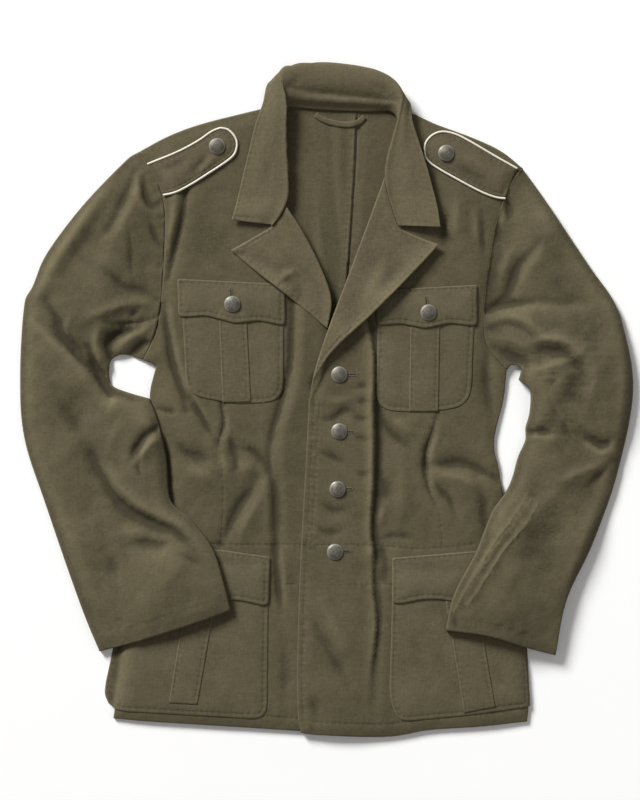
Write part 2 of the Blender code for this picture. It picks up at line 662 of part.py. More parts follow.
def button(name, spot):
    """A pressed metal button: a low dome with a rolled rim on a short shank."""
    ring = [At(spot.x + BUTTON_RADIUS * math.cos(a), spot.y + BUTTON_RADIUS * math.sin(a))
            for a in np.linspace(0, 2 * math.pi, 12, endpoint=False)]
    seat = PILE.tops(np.array([spot] + ring, float), margin=3.0).max()
    profile = [
        At(0, BUTTON_RISE + BUTTON_DOME),
        At(0.5 * BUTTON_RADIUS, BUTTON_RISE + 0.85 * BUTTON_DOME),
        At(0.86 * BUTTON_RADIUS, BUTTON_RISE + 0.52 * BUTTON_DOME),
        At(BUTTON_RADIUS, BUTTON_RISE + 0.2 * BUTTON_DOME),
        At(0.9 * BUTTON_RADIUS, BUTTON_RISE),
        At(0.3 * BUTTON_RADIUS, BUTTON_RISE),
        At(0.3 * BUTTON_RADIUS, 0),
        At(0, 0),
    ]
    mesh = bpy.data.meshes.new(name)
    edges = [(i, i + 1) for i in range(len(profile) - 1)]
    mesh.from_pydata([(p.x * MM, 0, p.y * MM) for p in profile], edges, [])
    obj = place(name, mesh, BUTTON_GREY)
    obj.location = (spot.x * MM, spot.y * MM, (seat - LAY_GAP + SEAM_GAP) * MM)
    turn = obj.modifiers.new("turned", "SCREW")
    turn.steps = turn.render_steps = 16
    turn.use_merge_vertices = True
    turn.merge_threshold = 0.00001


def hanger_loop():
    path = smooth(LOOP_PATH, 9)
    direction = np.gradient(path, axis=0)
    direction /= np.linalg.norm(direction, axis=1)[:, None]
    side = np.column_stack([-direction[:, 1], direction[:, 0]]) * LOOP_WIDTH / 2
    patch("hanger_loop", closed(path + side, (path - side)[::-1]), PATCH, 30)


for old in list(bpy.data.objects):
    bpy.data.objects.remove(old, do_unlink=True)
TUNIC = bpy.data.collections.new("tropical_tunic")
bpy.context.scene.collection.children.link(TUNIC)

for side in ("right", "left"):
    back(side)
hanger_loop()
for side in ("right", "left"):
    front(side)
    pocket(f"chest_{side}", CHEST_BAG[side], CHEST_FLAP[side], CHEST_PLEAT[side], 0.8)
    pocket(f"skirt_{side}", SKIRT_BAG[side], SKIRT_FLAP[side], SKIRT_PLEAT[side], 2.2)
    lapel(side)
for side in ("right", "left"):
    sleeve(side)
for side in ("right", "left"):
    strap(side)
collar()
for number, spot in enumerate(FRONT_BUTTONS, 1):
    button(f"front_button_{number}", spot)
for side in ("right", "left"):
    button(f"chest_button_{side}", CHEST_BUTTONS[side])
    button(f"strap_button_{side}", STRAP_BUTTONS[side])
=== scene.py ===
# %% [markdown]
# # A field tunic in olive twill, laid flat
#
# The tunic is sewn from about thirty pieces of cotton twill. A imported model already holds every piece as
# a plain closed wall with the right outline and the right place. This notebook makes the cloth that one
# sees: it takes each piece's outline and height from that model, cuts a fine sheet to it, presses the
# creases in, lays the sheets on each other in sewing order, and then adds thread, cord and buttons.
#
# Plans are in millimetres, x to the wearer's left and y towards the collar, and meshes are in metres.

import json
import math
from collections import namedtuple

import bmesh
import bpy
import numpy as np
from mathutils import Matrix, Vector, noise
from mathutils.bvhtree import BVHTree
from mathutils.geometry import delaunay_2d_cdt

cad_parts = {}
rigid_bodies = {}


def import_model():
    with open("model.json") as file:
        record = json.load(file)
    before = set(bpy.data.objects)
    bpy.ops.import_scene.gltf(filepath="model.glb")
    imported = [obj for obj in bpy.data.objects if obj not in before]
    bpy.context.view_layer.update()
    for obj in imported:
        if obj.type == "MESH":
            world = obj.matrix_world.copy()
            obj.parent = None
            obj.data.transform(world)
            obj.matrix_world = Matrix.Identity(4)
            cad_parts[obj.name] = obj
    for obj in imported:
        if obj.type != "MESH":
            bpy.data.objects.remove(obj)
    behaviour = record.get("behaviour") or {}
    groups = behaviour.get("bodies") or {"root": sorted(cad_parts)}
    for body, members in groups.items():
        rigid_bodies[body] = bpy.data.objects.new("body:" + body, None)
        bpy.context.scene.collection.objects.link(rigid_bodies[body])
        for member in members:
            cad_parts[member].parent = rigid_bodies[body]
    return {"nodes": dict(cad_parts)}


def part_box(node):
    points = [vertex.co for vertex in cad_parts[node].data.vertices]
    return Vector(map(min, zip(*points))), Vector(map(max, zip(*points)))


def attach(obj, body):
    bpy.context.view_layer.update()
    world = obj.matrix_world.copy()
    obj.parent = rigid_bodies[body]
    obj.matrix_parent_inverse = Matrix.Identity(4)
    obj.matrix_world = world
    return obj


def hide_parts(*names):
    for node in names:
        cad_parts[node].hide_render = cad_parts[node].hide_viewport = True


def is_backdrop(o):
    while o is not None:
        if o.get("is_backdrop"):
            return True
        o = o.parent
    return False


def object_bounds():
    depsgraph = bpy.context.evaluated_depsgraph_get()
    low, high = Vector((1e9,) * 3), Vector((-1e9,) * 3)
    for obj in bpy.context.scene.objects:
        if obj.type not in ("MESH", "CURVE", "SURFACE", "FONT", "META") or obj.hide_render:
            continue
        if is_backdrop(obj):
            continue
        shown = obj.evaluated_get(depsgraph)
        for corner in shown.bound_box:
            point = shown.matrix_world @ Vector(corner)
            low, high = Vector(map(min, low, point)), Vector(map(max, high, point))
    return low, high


for startup_object in list(bpy.data.objects):
    bpy.data.objects.remove(startup_object, do_unlink=True)

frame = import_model()
CAD_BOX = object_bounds()
MM = 0.001
print("nodes:", len(frame["nodes"]))

# %% [markdown]
# ## The camera
#
# The tunic is seen straight from above. A long lens far away keeps the picture close to a plan, so that
# a place read from the picture is the same place on the table.

# %% Camera
CAMERA_HEIGHT = 3.2
VIEW_LENGTH = 0.944  # what the picture's longer side shows, at the cloth
VIEW_CENTRE = (-0.0077, 0.0)
CLOTH_LEVEL = 0.008
SENSOR = 36.0

camera = bpy.data.cameras.new("camera")
camera.sensor_fit = "VERTICAL"
camera.sensor_height = SENSOR
camera.lens = SENSOR * (CAMERA_HEIGHT - CLOTH_LEVEL) / VIEW_LENGTH
camera_object = bpy.data.objects.new("camera", camera)
camera_object.location = (*VIEW_CENTRE, CAMERA_HEIGHT)
bpy.context.scene.collection.objects.link(camera_object)
bpy.context.scene.camera = camera_object
print("lens:", round(camera.lens, 1), "mm")

# %% [markdown]
# ## Light
#
# A garment is photographed in a white room: one large soft light from the upper left models the folds,
# and weaker light from everywhere else fills the shadows. The table is pale and dull. The Standard view
# shows colours as they are measured, so the cloth keeps its own dark olive under a bright light.

# %% Light and table
def soft_light(name, place, size, power):
    light = bpy.data.lights.new(name, "AREA")
    light.shape = "SQUARE"
    light.size = size
    light.energy = power
    lamp = bpy.data.objects.new(name, light)
    lamp.location = place
    lamp.rotation_euler = (-Vector(place)).to_track_quat("-Z", "Y").to_euler()
    bpy.context.scene.collection.objects.link(lamp)


soft_light("key", (-6.8, 8.6, 6.4), 4.0, 2480)
soft_light("fill", (1.6, -0.8, 1.8), 2.0, 8)
bpy.context.scene.view_settings.view_transform = "Standard"

world = bpy.data.worlds.new("white room")
world.use_nodes = True
background = world.node_tree.nodes["Background"].inputs
background["Color"].default_value = (1.0, 0.99, 0.97, 1)
background["Strength"].default_value = 0.22
bpy.context.scene.world = world

table_mesh = bpy.data.meshes.new("table")
table_mesh.from_pydata([(-4, -4, 0), (4, -4, 0), (4, 4, 0), (-4, 4, 0)], [], [(0, 1, 2, 3)])
table = bpy.data.objects.new("table", table_mesh)
bpy.context.scene.collection.objects.link(table)
table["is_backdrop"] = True

# %% [markdown]
# ## Writing materials as sums
#
# A material is a network of nodes. Long networks are hard to read, so a small class wraps a socket and
# turns Python's own operators into Math nodes, and a board makes every other kind of node with one method.

# %% A socket that can be added and multiplied
def new_node(tree, kind, settings, values):
    """A node of this kind: its settings first, then values or links for its sockets."""
    node = tree.nodes.new(kind)
    for key, value in (settings or {}).items():
        setattr(node, key, value)
    for key, value in (values or {}).items():
        value = getattr(value, "socket", value)  # a Wire holds one
        if isinstance(value, bpy.types.NodeSocket):
            tree.links.new(value, node.inputs[key])
        else:
            node.inputs[key].default_value = value
    return node


class Wire:
    """One value in a material. Operators on it add Math nodes."""

    def __init__(self, board, socket):
        self.board, self.socket = board, socket

    def maths(self, operation, *values, clamped=False):
        settings = dict(operation=operation, use_clamp=clamped)
        return self.board.add("ShaderNodeMath", settings, dict(enumerate(values)))

    def __add__(self, other):
        return self.maths("ADD", self, other)

    def __sub__(self, other):
        return self.maths("SUBTRACT", self, other)

    def __rsub__(self, other):
        return self.maths("SUBTRACT", other, self)

    def __mul__(self, other):
        return self.maths("MULTIPLY", self, other)

    def __truediv__(self, other):
        return self.maths("DIVIDE", self, other)

    def __pow__(self, other):
        return self.maths("POWER", self, other)

    def __neg__(self):
        return self * -1

    __radd__ = __add__
    __rmul__ = __mul__

    def sine(self):
        return self.maths("SINE", self)

    def held(self):
        """The value kept between 0 and 1."""
        return self.maths("ADD", self, 0, clamped=True)

    def below(self, limit):
        return self.maths("MINIMUM", self, limit)

    def bell(self, width):
        """1 where the value is 0, falling to 0 past the width on both sides."""
        return self.maths("EXPONENT", -((self / width) ** 2))

    def fading(self, width):
        return self.maths("EXPONENT", -self / width)


class Board:
    """A material and the nodes on it."""

    def __init__(self, name, roughness, **constants):
        self.material = bpy.data.materials.new(name)
        self.material.use_nodes = True
        self.tree = self.material.node_tree
        self.shader = self.tree.nodes["Principled BSDF"]
        self.shader.inputs["Roughness"].default_value = roughness
        for socket, value in constants.items():
            self.shader.inputs[socket.replace("_", " ")].default_value = value

    def add(self, kind, settings=None, values=None, output=0):
        return Wire(self, new_node(self.tree, kind, settings, values).outputs[output])

    def place(self):
        return self.add("ShaderNodeTexCoord", output="Object")

    def attribute(self, name):
        return self.add("ShaderNodeAttribute", dict(attribute_name=name), output="Fac")

    def speckle(self, per_metre, detail=2.0, stretch=(1, 1, 1)):
        """Soft random values round 0 at a pitch given in cells a metre, which may differ by axis."""
        place = self.add("ShaderNodeVectorMath", dict(operation="MULTIPLY"),
                         {0: self.place(), 1: stretch})
        return self.add("ShaderNodeTexNoise", {}, dict(Vector=place, Scale=per_metre, Detail=detail)) - 0.5

    def blend(self, amount, low, high):
        """From one screen colour to another as the amount goes from 0 to 1."""
        sockets = {0: amount, 6: (*low, 1), 7: (*high, 1)}
        return self.add("ShaderNodeMix", dict(data_type="RGBA"), sockets, output=2)

    def finish(self, colour, roughness=None, bump=None):
        self.tree.links.new(colour.socket, self.shader.inputs["Base Color"])
        if roughness is not None:
            self.tree.links.new(roughness.socket, self.shader.inputs["Roughness"])
        if bump is not None:
            normal = self.add("ShaderNodeBump", {}, dict(Strength=1.0, Distance=MM, Height=bump))
            self.tree.links.new(normal.socket, self.shader.inputs["Normal"])
        return self.material


def linear(red, green, blue):
    """A colour given as it looks on a screen, 0 to 255, as the shader's linear values."""
    return tuple(((c / 255 + 0.055) / 1.055) ** 2.4 for c in (red, green, blue))


print("wires and boards ready")

# %% [markdown]
# ## Twill
#
# Twill is woven so that each thread passes over two or three others, one step further along in each row,
# which draws fine diagonal ribs. Ribs, fibres and puckers are too small to model, so they are a bump.
# Four numbers come with each sheet: how far a point is from the cut edge, how far from the nearest line of
# stitching, how far along it, and how much it stands out from the cloth round it. Edges are rubbed pale.
# Stitching sits in a groove between puckers. The rest is painted shade and painted highlight: the crests of
# folds and the humps of puckers are painted paler, and the hollows of folds and the stitch grooves darker.

# %% Twill material
RIB_PITCH = 0.95  # mm between ribs
RIB_DEPTH = 0.05  # the depths are in mm
FIBRE_DEPTH = 0.10
SLUB_DEPTH = 0.16
MOTTLE_DEPTH = 0.18
CRUMPLE_DEPTH = 0.7
RIPPLE_DEPTH = 0.09
RIPPLE_REACH = 3.0  # mm beside a line of stitching
SEAM_DEPTH = 0.14
SEAM_WIDTH = 1.1


def twill(name, colour, lean):
    """Cotton twill of one colour, with its ribs leaning by this angle in degrees."""
    board = Board(name, 0.9, Sheen_Weight=0.05, Sheen_Roughness=0.5, Specular_IOR_Level=0.12)
    across = (math.cos(math.radians(lean)) / MM, math.sin(math.radians(lean)) / MM, 0)
    phase = board.add("ShaderNodeVectorMath", dict(operation="DOT_PRODUCT"),
                      {0: board.place(), 1: across}, output="Value")
    ribs = (phase * (2 * math.pi / RIB_PITCH)).sine()
    slubs = board.speckle(1, 2, (110, 900, 200)) + board.speckle(1, 2, (900, 110, 200))
    fibre = board.speckle(900, 3)
    mottle = board.speckle(260, 3)
    fading = board.speckle(14, 3)
    rim, stitch, along, painted_fold_shade = (board.attribute(key) for key in ("rim", "stitch", "along", "painted_fold_shade"))
    groove = stitch.bell(SEAM_WIDTH)
    ripple = (along * 0.9 + board.speckle(120, 0) * 4).sine() * stitch.fading(RIPPLE_REACH)
    crumple = board.speckle(60, 2)
    weave = ribs * RIB_DEPTH + fibre * FIBRE_DEPTH + slubs * SLUB_DEPTH
    uneven = mottle * MOTTLE_DEPTH + crumple * CRUMPLE_DEPTH
    height = weave + uneven + ripple * RIPPLE_DEPTH - groove * SEAM_DEPTH
    # wear: edges rubbed pale; painted highlight on fold crests and pucker humps; painted shade in fold
    # hollows, stitch grooves and between puckers
    wear_and_painted_shade = rim.fading(0.9) * 0.4 + ripple * 0.10 - groove * 0.06 + painted_fold_shade * 0.22 + painted_fold_shade.below(0) * 0.2
    shade = 0.5 + fading * 0.3 + mottle * 0.4 + slubs * 0.42 + fibre * 0.4 + wear_and_painted_shade
    dark, light = (tuple(c * k for c in linear(*colour)) for k in (0.55, 1.45))
    return board.finish(board.blend(shade.held(), dark, light), 0.86 + mottle * 0.12, height)


# The collar, lapels, pockets and straps are a little paler than the body and sleeves: partly the cloth's own
# fading, partly painted light.
BODY_TWILL = twill("body twill", (88, 81, 61), 38)
SLEEVE_TWILL = twill("sleeve twill", (89, 82, 62), 62)
COLLAR_TWILL = twill("collar twill", (98, 90, 69), 20)
POCKET_TWILL = twill("pocket twill", (92, 85, 65), 38)
STRAP_TWILL = twill("strap twill", (91, 83, 64), 70)
print("twills:", [m.name for m in bpy.data.materials])

# %% [markdown]
# ## Lines in plan
#
# Everything sewn follows a line: cut edges, stitching and creases alike. A Catmull-Rom curve passes through
# the few points of a table, and its centripetal form doesn't overshoot where the points are uneven.

# %% Smooth lines and distances from them
STEP = 2.6  # mm between points on an edge
STRETCH = 12  # steps of a line that are measured together


def lengths(line):
    return np.concatenate([[0], np.cumsum(np.linalg.norm(np.diff(line, axis=0), axis=1))])


def respaced(line, step):
    along = lengths(line)
    where = np.linspace(0, along[-1], max(1, round(along[-1] / step)) + 1)
    return np.column_stack([np.interp(where, along, column) for column in line.T])


def centripetal(a, b, c, d, count=12):
    """The stretch from b to c of the curve through four points."""
    at_b = np.linalg.norm(b - a) ** 0.5
    at_c = at_b + np.linalg.norm(c - b) ** 0.5
    at_d = at_c + np.linalg.norm(d - c) ** 0.5
    t = np.linspace(at_b, at_c, count, endpoint=False)[:, None]

    def between(p, q, low, high):
        return p + (q - p) * (t - low) / (high - low)

    first, middle, last = between(a, b, 0, at_b), between(b, c, at_b, at_c), between(c, d, at_c, at_d)
    earlier, later = between(first, middle, 0, at_c), between(middle, last, at_b, at_d)
    return between(earlier, later, at_b, at_c)


def smooth(points, step=STEP):
    rows = np.array(points, float)
    if len(rows) < 3:
        return respaced(rows, step)
    rows = np.vstack([2 * rows[0] - rows[1], rows, 2 * rows[-1] - rows[-2]])
    stretches = [centripetal(*corners) for corners in zip(rows, rows[1:], rows[2:], rows[3:])]
    return respaced(np.vstack(stretches + [rows[-2:-1]]), step)


def nearest(points, line, reach=1e9):
    """How far each point is from a line, on which side of it and how far along. The side is 1 on the
    line's left and -1 on its right, and past an end it goes from one to the other by degrees. Points
    farther than the reach aren't measured, and count as just that far."""
    far, side, along = np.full(len(points), reach), np.zeros(len(points)), np.zeros(len(points))
    start = 0.0
    for first in range(0, len(line) - 1, STRETCH):
        stretch = line[first : first + STRETCH + 1]
        beside = np.abs(points - stretch.mean(axis=0)) < np.ptp(stretch, axis=0) + reach
        near = np.where(np.all(beside, axis=1))[0]
        close = points[near]
        for a, b in zip(stretch, stretch[1:]):
            run = b - a
            length = max(float(np.hypot(*run)), 1e-9)
            t = np.clip((close - a) @ run / length**2, 0, 1)
            away = close - a - t[:, None] * run
            apart = np.hypot(away[:, 0], away[:, 1])
            closer = apart < far[near]
            chosen = near[closer]
            far[chosen] = apart[closer]
            across = run[0] * away[closer, 1] - run[1] * away[closer, 0]
            side[chosen] = across / length / np.maximum(apart[closer], 1e-9)
            along[chosen] = start + t[closer] * length
            start += length
    return far, side, along


def inside(points, outline):
    """Whether each point is in the outline: a line from it to the right crosses the outline oddly often."""
    x, y = points.T
    hits = np.zeros(len(points), bool)
    for (ax, ay), (bx, by) in zip(outline, np.roll(outline, -1, axis=0)):
        if ay != by:
            hits ^= ((ay > y) != (by > y)) & (x < (bx - ax) * (y - ay) / (by - ay) + ax)
    return hits


def moved_in(line, amount, closed=False):
    """The line moved to its left, which is inwards on an anticlockwise outline."""
    run = (np.roll(line, -1, axis=0) - np.roll(line, 1, axis=0)) if closed else np.gradient(line, axis=0)
    run /= np.linalg.norm(run, axis=1)[:, None]
    return line + np.column_stack([-run[:, 1], run[:, 0]]) * amount


print("a smooth line of", len(smooth([(0, 0), (10, 4), (30, 0)])), "points")

# %% [markdown]
# ## From a plain wall to a sheet
#
# Each plain wall is a coarse mesh. Its upper faces give the outline and the height. The outline is made
# smooth between its corners, filled with a honeycomb of points and with rows of points along every seam,
# and triangulated. Rings of points close to the edge let the edge round over as folded cloth does.

# %% Cut a flat sheet
CORNER = math.radians(32)  # a turn above this stays a corner
EDGE_RINGS = (0.45, 1.1, 2.2)  # mm in from the edge
SEAM_ROWS = (-1.3, 0.0, 1.3)  # mm beside a line of stitching
NEARBY = 9  # mm within which points close to a line are told from the rest
RIM_REACH = 25  # mm from the edge up to which the distance is kept


def upper_side(node):
    """The node's upper faces as points and triangles in millimetres, and the loop round them in plan."""
    bm = bmesh.new()
    bm.from_mesh(frame["nodes"][node].data)
    bmesh.ops.remove_doubles(bm, verts=bm.verts, dist=1e-6)
    bm.normal_update()
    upper = {face for face in bm.faces if face.normal.z > 0.05}
    beside = {}
    for edge in bm.edges:
        if sum(face in upper for face in edge.link_faces) == 1:
            for one, other in (edge.verts, reversed(edge.verts)):
                beside.setdefault(one.index, []).append(other.index)
    loops = []
    while beside:
        here = next(iter(beside))
        loop = []
        while here in beside:
            loop.append(here)
            onward = [other for other in beside.pop(here) if other in beside]
            here = onward[0] if onward else None
        loops.append(loop)
    points = np.array([v.co for v in bm.verts]) / MM
    triangles = [tuple(v.index for v in face.verts) for face in upper]
    bm.free()
    ring = points[max(loops, key=len), :2]
    x, y = ring.T
    turned = np.sum(x * np.roll(y, -1) - np.roll(x, -1) * y) < 0
    return points, triangles, ring[::-1] if turned else ring


def softened(loop):
    """The loop with its corners kept and everything between them smooth."""
    before, after = loop - np.roll(loop, 1, axis=0), np.roll(loop, -1, axis=0) - loop
    across = before[:, 0] * after[:, 1] - before[:, 1] * after[:, 0]
    turn = np.arctan2(across, np.sum(before * after, axis=1))
    first = int(np.argmax(np.abs(turn)))
    loop, turn = np.roll(loop, -first, axis=0), np.abs(np.roll(turn, -first))
    stops = [i for i in range(len(loop)) if i == 0 or turn[i] > CORNER] + [len(loop)]
    ring = np.vstack([loop, loop[:1]])
    return np.vstack([smooth(ring[a : b + 1])[:-1] for a, b in zip(stops, stops[1:])])


def honeycomb(low, high, grid):
    columns = np.arange(low[0], high[0], grid)
    rows = np.arange(low[1], high[1], grid * math.sqrt(3) / 2)
    return np.array([(x + grid / 2 * (j % 2), y) for j, y in enumerate(rows) for x in columns])


def cut(edge, grid, lines):
    """Points and triangles of a flat sheet, and each point's distance from the edge."""
    ring = np.vstack([edge, edge[:1]])
    filling = honeycomb(edge.min(axis=0), edge.max(axis=0), grid)
    filling = filling[inside(filling, edge)]
    filling = filling[nearest(filling, ring, NEARBY)[0] > EDGE_RINGS[-1] + 0.4 * grid]
    kept = [edge]
    for amount in EDGE_RINGS:
        row = moved_in(edge, amount, closed=True)
        kept.append(row[inside(row, edge) & (nearest(row, ring, NEARBY)[0] > 0.85 * amount)])
    for line in lines:
        for amount in SEAM_ROWS:
            row = moved_in(line, amount)
            row = row[inside(row, edge)]
            kept.append(row[nearest(row, ring, NEARBY)[0] > EDGE_RINGS[-1] + 0.6])
        filling = filling[nearest(filling, line, NEARBY)[0] > SEAM_ROWS[-1] + 0.4 * grid]
    places = [Vector(place) for place in np.vstack([*kept, filling])]
    flat = delaunay_2d_cdt(places, [], [list(range(len(edge)))], 1, 1e-4)
    points = np.array([tuple(v) for v in flat[0]])
    return points, np.array(flat[2]), nearest(points, ring, RIM_REACH)[0]


print("outline of a lapel:", len(softened(upper_side("lapel_left")[2])), "points")

# %% [markdown]
# ## Creases
#
# A crease is a line along which the cloth stands up or sinks, with one slope steeper than the other. It
# fades towards its ends. Each is given one by one, so a table row holds how far it rises in millimetres, how
# wide its left and right slopes are, how much of it is left at its two ends, and its path.
#
# A second kind of unevenness is too small to place by hand: cloth is never quite flat, and it puckers
# along its seams. Both come from smooth noise, which gives the same value each time.

# %% Creases, waves and puckers
Crease = namedtuple("Crease", "rise left right begin end path")
CREST = 0.3  # how much of a crease's width is round at its top
GROWTH = 0.45  # share of a crease's length over which it reaches its full height
NARROWED = 0.45  # how much narrower a crease is where it has faded away
REACH_IN_WIDTHS = 5
NOISE_GAIN = 1.6  # brings Blender's noise to about 1
PUCKER_GAIN = 1.8
PUCKER_PITCH = 8.0  # mm along a seam
PUCKER_REACH = 6.0  # mm across it


def ease(t):
    t = np.clip(t, 0, 1)
    return t * t * (3 - 2 * t)


def creased(points, creases):
    """How far the creases lift each point."""
    rise = np.zeros(len(points))
    for crease in creases:
        line = smooth(crease.path, 5)
        reach = REACH_IN_WIDTHS * max(crease.left, crease.right)
        low, high = line.min(axis=0) - reach, line.max(axis=0) + reach
        near = np.where(np.all((points > low) & (points < high), axis=1))[0]
        far, side, along = nearest(points[near], line, reach)
        t = along / lengths(line)[-1]
        beginning = crease.begin + (1 - crease.begin) * ease(t / GROWTH)
        strength = beginning * (crease.end + (1 - crease.end) * ease((1 - t) / GROWTH))
        width = crease.right + (crease.left - crease.right) * (1 + side) / 2
        width *= 1 - NARROWED + NARROWED * strength
        crest = CREST * min(crease.left, crease.right)
        height = crease.rise * strength * np.exp((crest - np.hypot(far, crest)) / width)
        rise[near] += height * np.clip((reach - far) / width, 0, 1)
    return rise


def waves(points, size, seed):
    """Smooth uneven heights between about -1 and 1, whose humps are this many millimetres apart."""
    return np.array([noise.noise(Vector((x / size, y / size, seed))) for x, y in points]) * NOISE_GAIN


def puckered(points, line, seed):
    """Small humps across a seam, at uneven places along it."""
    limit = 3.5 * PUCKER_REACH
    far, side, along = nearest(points, line, limit)
    rise = np.zeros(len(points))
    for i in np.where(far < limit)[0]:
        hump = noise.noise(Vector((along[i] / PUCKER_PITCH, side[i] * 0.35, seed))) * PUCKER_GAIN
        rise[i] = hump * math.exp(-far[i] / PUCKER_REACH)
    return rise


single = Crease(3, 5, 5, 1, 1, [(0, 0), (0, 40)])
print("a crease 3 mm high, 4 mm away:", round(float(creased(np.array([[4.0, 20.0]]), [single])[0]), 2))

# %% [markdown]
# ## Laying the sheets
#
# The sheets are laid in sewing order, each on those below it. A panel keeps the height that the plain wall
# gives it, and a patch lies on whatever is under it. Then its creases are added, and where it would sink
# into the cloth below it is lifted clear, softly, as cloth bridges a step. At last it gets its thickness.

# %% Pile of cloth
GAP = 0.3  # mm between sheets that lie on each other
ONE_PLY = 1.15
TWO_PLY = 1.7
EDGE_ROUND = 1.2  # mm from the edge over which a sheet is rounded
EDGE_GAP = 0.05
GROOVE = 0.3  # mm that stitching sinks into a sheet
GROOVE_WIDTH = 0.9
NO_STITCH = 40.0  # mm, a distance that stands for no stitching
PAINTED_SHADE_REACH = 14.0  # mm round a point that its height is compared with
ROLL = 16.0  # mm over which a panel rolls up from its edge
CROWN_REACH = 22.0  # mm over which a patch rises from its edge
CALM = 14.0  # mm beside the edge where the cloth crumples less
ABOVE = 500  # mm, higher than any cloth
DOWN = Vector((0, 0, -1))


def drop(tree, x, y):
    """Where a plumb line meets a surface, or None."""
    return tree.ray_cast(Vector((x, y, ABOVE)), DOWN)[0]


class Pile:
    """The sheets laid so far, seen from above."""

    def __init__(self):
        self.layers = []

    def add(self, points, faces):
        tree = BVHTree.FromPolygons(points.tolist(), faces.tolist())
        self.layers.append((tree, points[:, :2].min(axis=0), points[:, :2].max(axis=0)))

    def tops(self, points, reach=0.0, edge=None):
        """The highest surface at each point or this far beside it, within an outline."""
        found = np.zeros(len(points))
        for dx, dy in ((0, 0), (reach, 0), (-reach, 0), (0, reach), (0, -reach))[: 5 if reach else 1]:
            moved = points + (dx, dy)
            counts = inside(moved, edge) if edge is not None and (dx or dy) else np.ones(len(points), bool)
            for tree, low, high in self.layers:
                for i in np.where(counts & np.all((moved > low) & (moved < high), axis=1))[0]:
                    hit = drop(tree, *moved[i])
                    if hit is not None and hit.z + GAP > found[i]:
                        found[i] = hit.z + GAP
        return found


PILE = Pile()


def links_of(faces):
    """The pairs of points that share an edge."""
    pairs = np.sort(np.vstack([faces[:, [0, 1]], faces[:, [1, 2]], faces[:, [2, 0]]]), axis=1)
    return np.unique(pairs, axis=0)


def relaxed(values, links, rounds):
    """Values drawn towards their neighbours', so that steps become slopes."""
    a, b = links.T
    count = np.maximum(np.bincount(a, minlength=len(values)) + np.bincount(b, minlength=len(values)), 1)
    for _ in range(rounds):
        total = np.bincount(a, values[b], len(values)) + np.bincount(b, values[a], len(values))
        values = 0.4 * values + 0.6 * total / count
    return values


def lifted(base, need, links, rounds):
    """The heights raised to what they need, with a soft slope round each raised place."""
    lift = np.clip(need - base, 0, None)
    spread = lift
    for _ in range(rounds):
        spread = np.maximum(lift, relaxed(spread, links, 1))
    return base + spread


print("pile ready, cloth", ONE_PLY, "mm thick")

# %% [markdown]
# A sheet becomes an object with two sides and a rounded edge, and carries the four numbers that the
# twill reads. Each sheet stands for its plain wall, rides on the one body, and says how large it was cut.

# %% Sheets as objects
Line = namedtuple("Line", "path pucker thread")
Topstitch = namedtuple("Topstitch", "start stop inset pucker thread", defaults=(0.12, True))
Sewn = namedtuple("Sewn", "path pucker thread", defaults=(0.25, True))
THREADS = {}
SHEETS = {}


def along_edge(edge, start, stop):
    """The stretch of an anticlockwise outline from one place to another."""
    first, last = (int(np.argmin(np.hypot(*(edge - place).T))) for place in (start, stop))
    if last <= first:
        last += len(edge)
    return np.take(edge, range(first, last + 1), axis=0, mode="wrap")


def resolved(row, edge):
    """A row of a sewing table as a line in plan."""
    if isinstance(row, Sewn):
        return Line(smooth(row.path), row.pucker, row.thread)
    stretch = along_edge(edge, row.start, row.stop)
    path = moved_in(stretch, row.inset)
    ring = np.vstack([edge, edge[:1]])
    path = path[nearest(path, ring)[0] > 0.94 * row.inset]
    return Line(respaced(path, STEP), row.pucker, row.thread)


def mesh_of(name, points, faces, look, **numbers):
    mesh = bpy.data.meshes.new(name)
    mesh.from_pydata((np.asarray(points) * MM).tolist(), [], faces)
    mesh.shade_smooth()
    mesh.materials.append(look)
    for key, values in numbers.items():
        attribute = mesh.attributes.new(key, "FLOAT", "POINT")
        attribute.data.foreach_set("value", np.asarray(values, np.float32))
    obj = bpy.data.objects.new(name, mesh)
    bpy.context.scene.collection.objects.link(obj)
    return obj


def sunk(stitch):
    """How deep the groove is at this distance from the stitching."""
    return GROOVE * np.exp(-((stitch / GROOVE_WIDTH) ** 2))


def thick(points, faces, base, under, rim, ply, groove):
    """A closed sheet: its upper side, its lower side turned over, and the wall between them. Its edge is
    round, and is turned down to what lies under it."""
    near = 1 - np.clip(rim / EDGE_ROUND, 0, 1)
    top = base + ply * (0.35 + 0.65 * np.sqrt(1 - near**2)) - groove
    bottom = base - (base - np.minimum(base, under + EDGE_GAP)) * near**2
    count = len(points)
    directed = {(t[i], t[(i + 1) % 3]) for t in faces.tolist() for i in range(3)}
    wall = [(b, a, a + count, b + count) for a, b in directed if (b, a) not in directed]
    sides = faces.tolist() + (faces[:, ::-1] + count).tolist() + wall
    return np.vstack([np.column_stack([points, top]), np.column_stack([points, bottom])]), sides


def arch(distance, reach):
    """From 0 to 1 over this reach, steep at first and then flat."""
    return np.sin(np.clip(distance / reach, 0, 1) * math.pi / 2)


def cut_size(edge, area):
    """Width and length of the smallest cloth the piece can be cut from. A bent strip is measured along
    itself, and is twice as wide before it is folded."""
    boxes = []
    for angle in np.radians(np.arange(0, 90, 3)):
        c, s = math.cos(angle), math.sin(angle)
        aside = edge @ np.array([(c, -s), (s, c)])
        boxes.append(sorted(aside.max(axis=0) - aside.min(axis=0)))
    width, length = min(boxes, key=lambda box: box[0] * box[1])
    if area < 0.35 * width * length:
        length = lengths(edge)[-1] / 2
        width = 2 * area / length
    return width * MM, length * MM


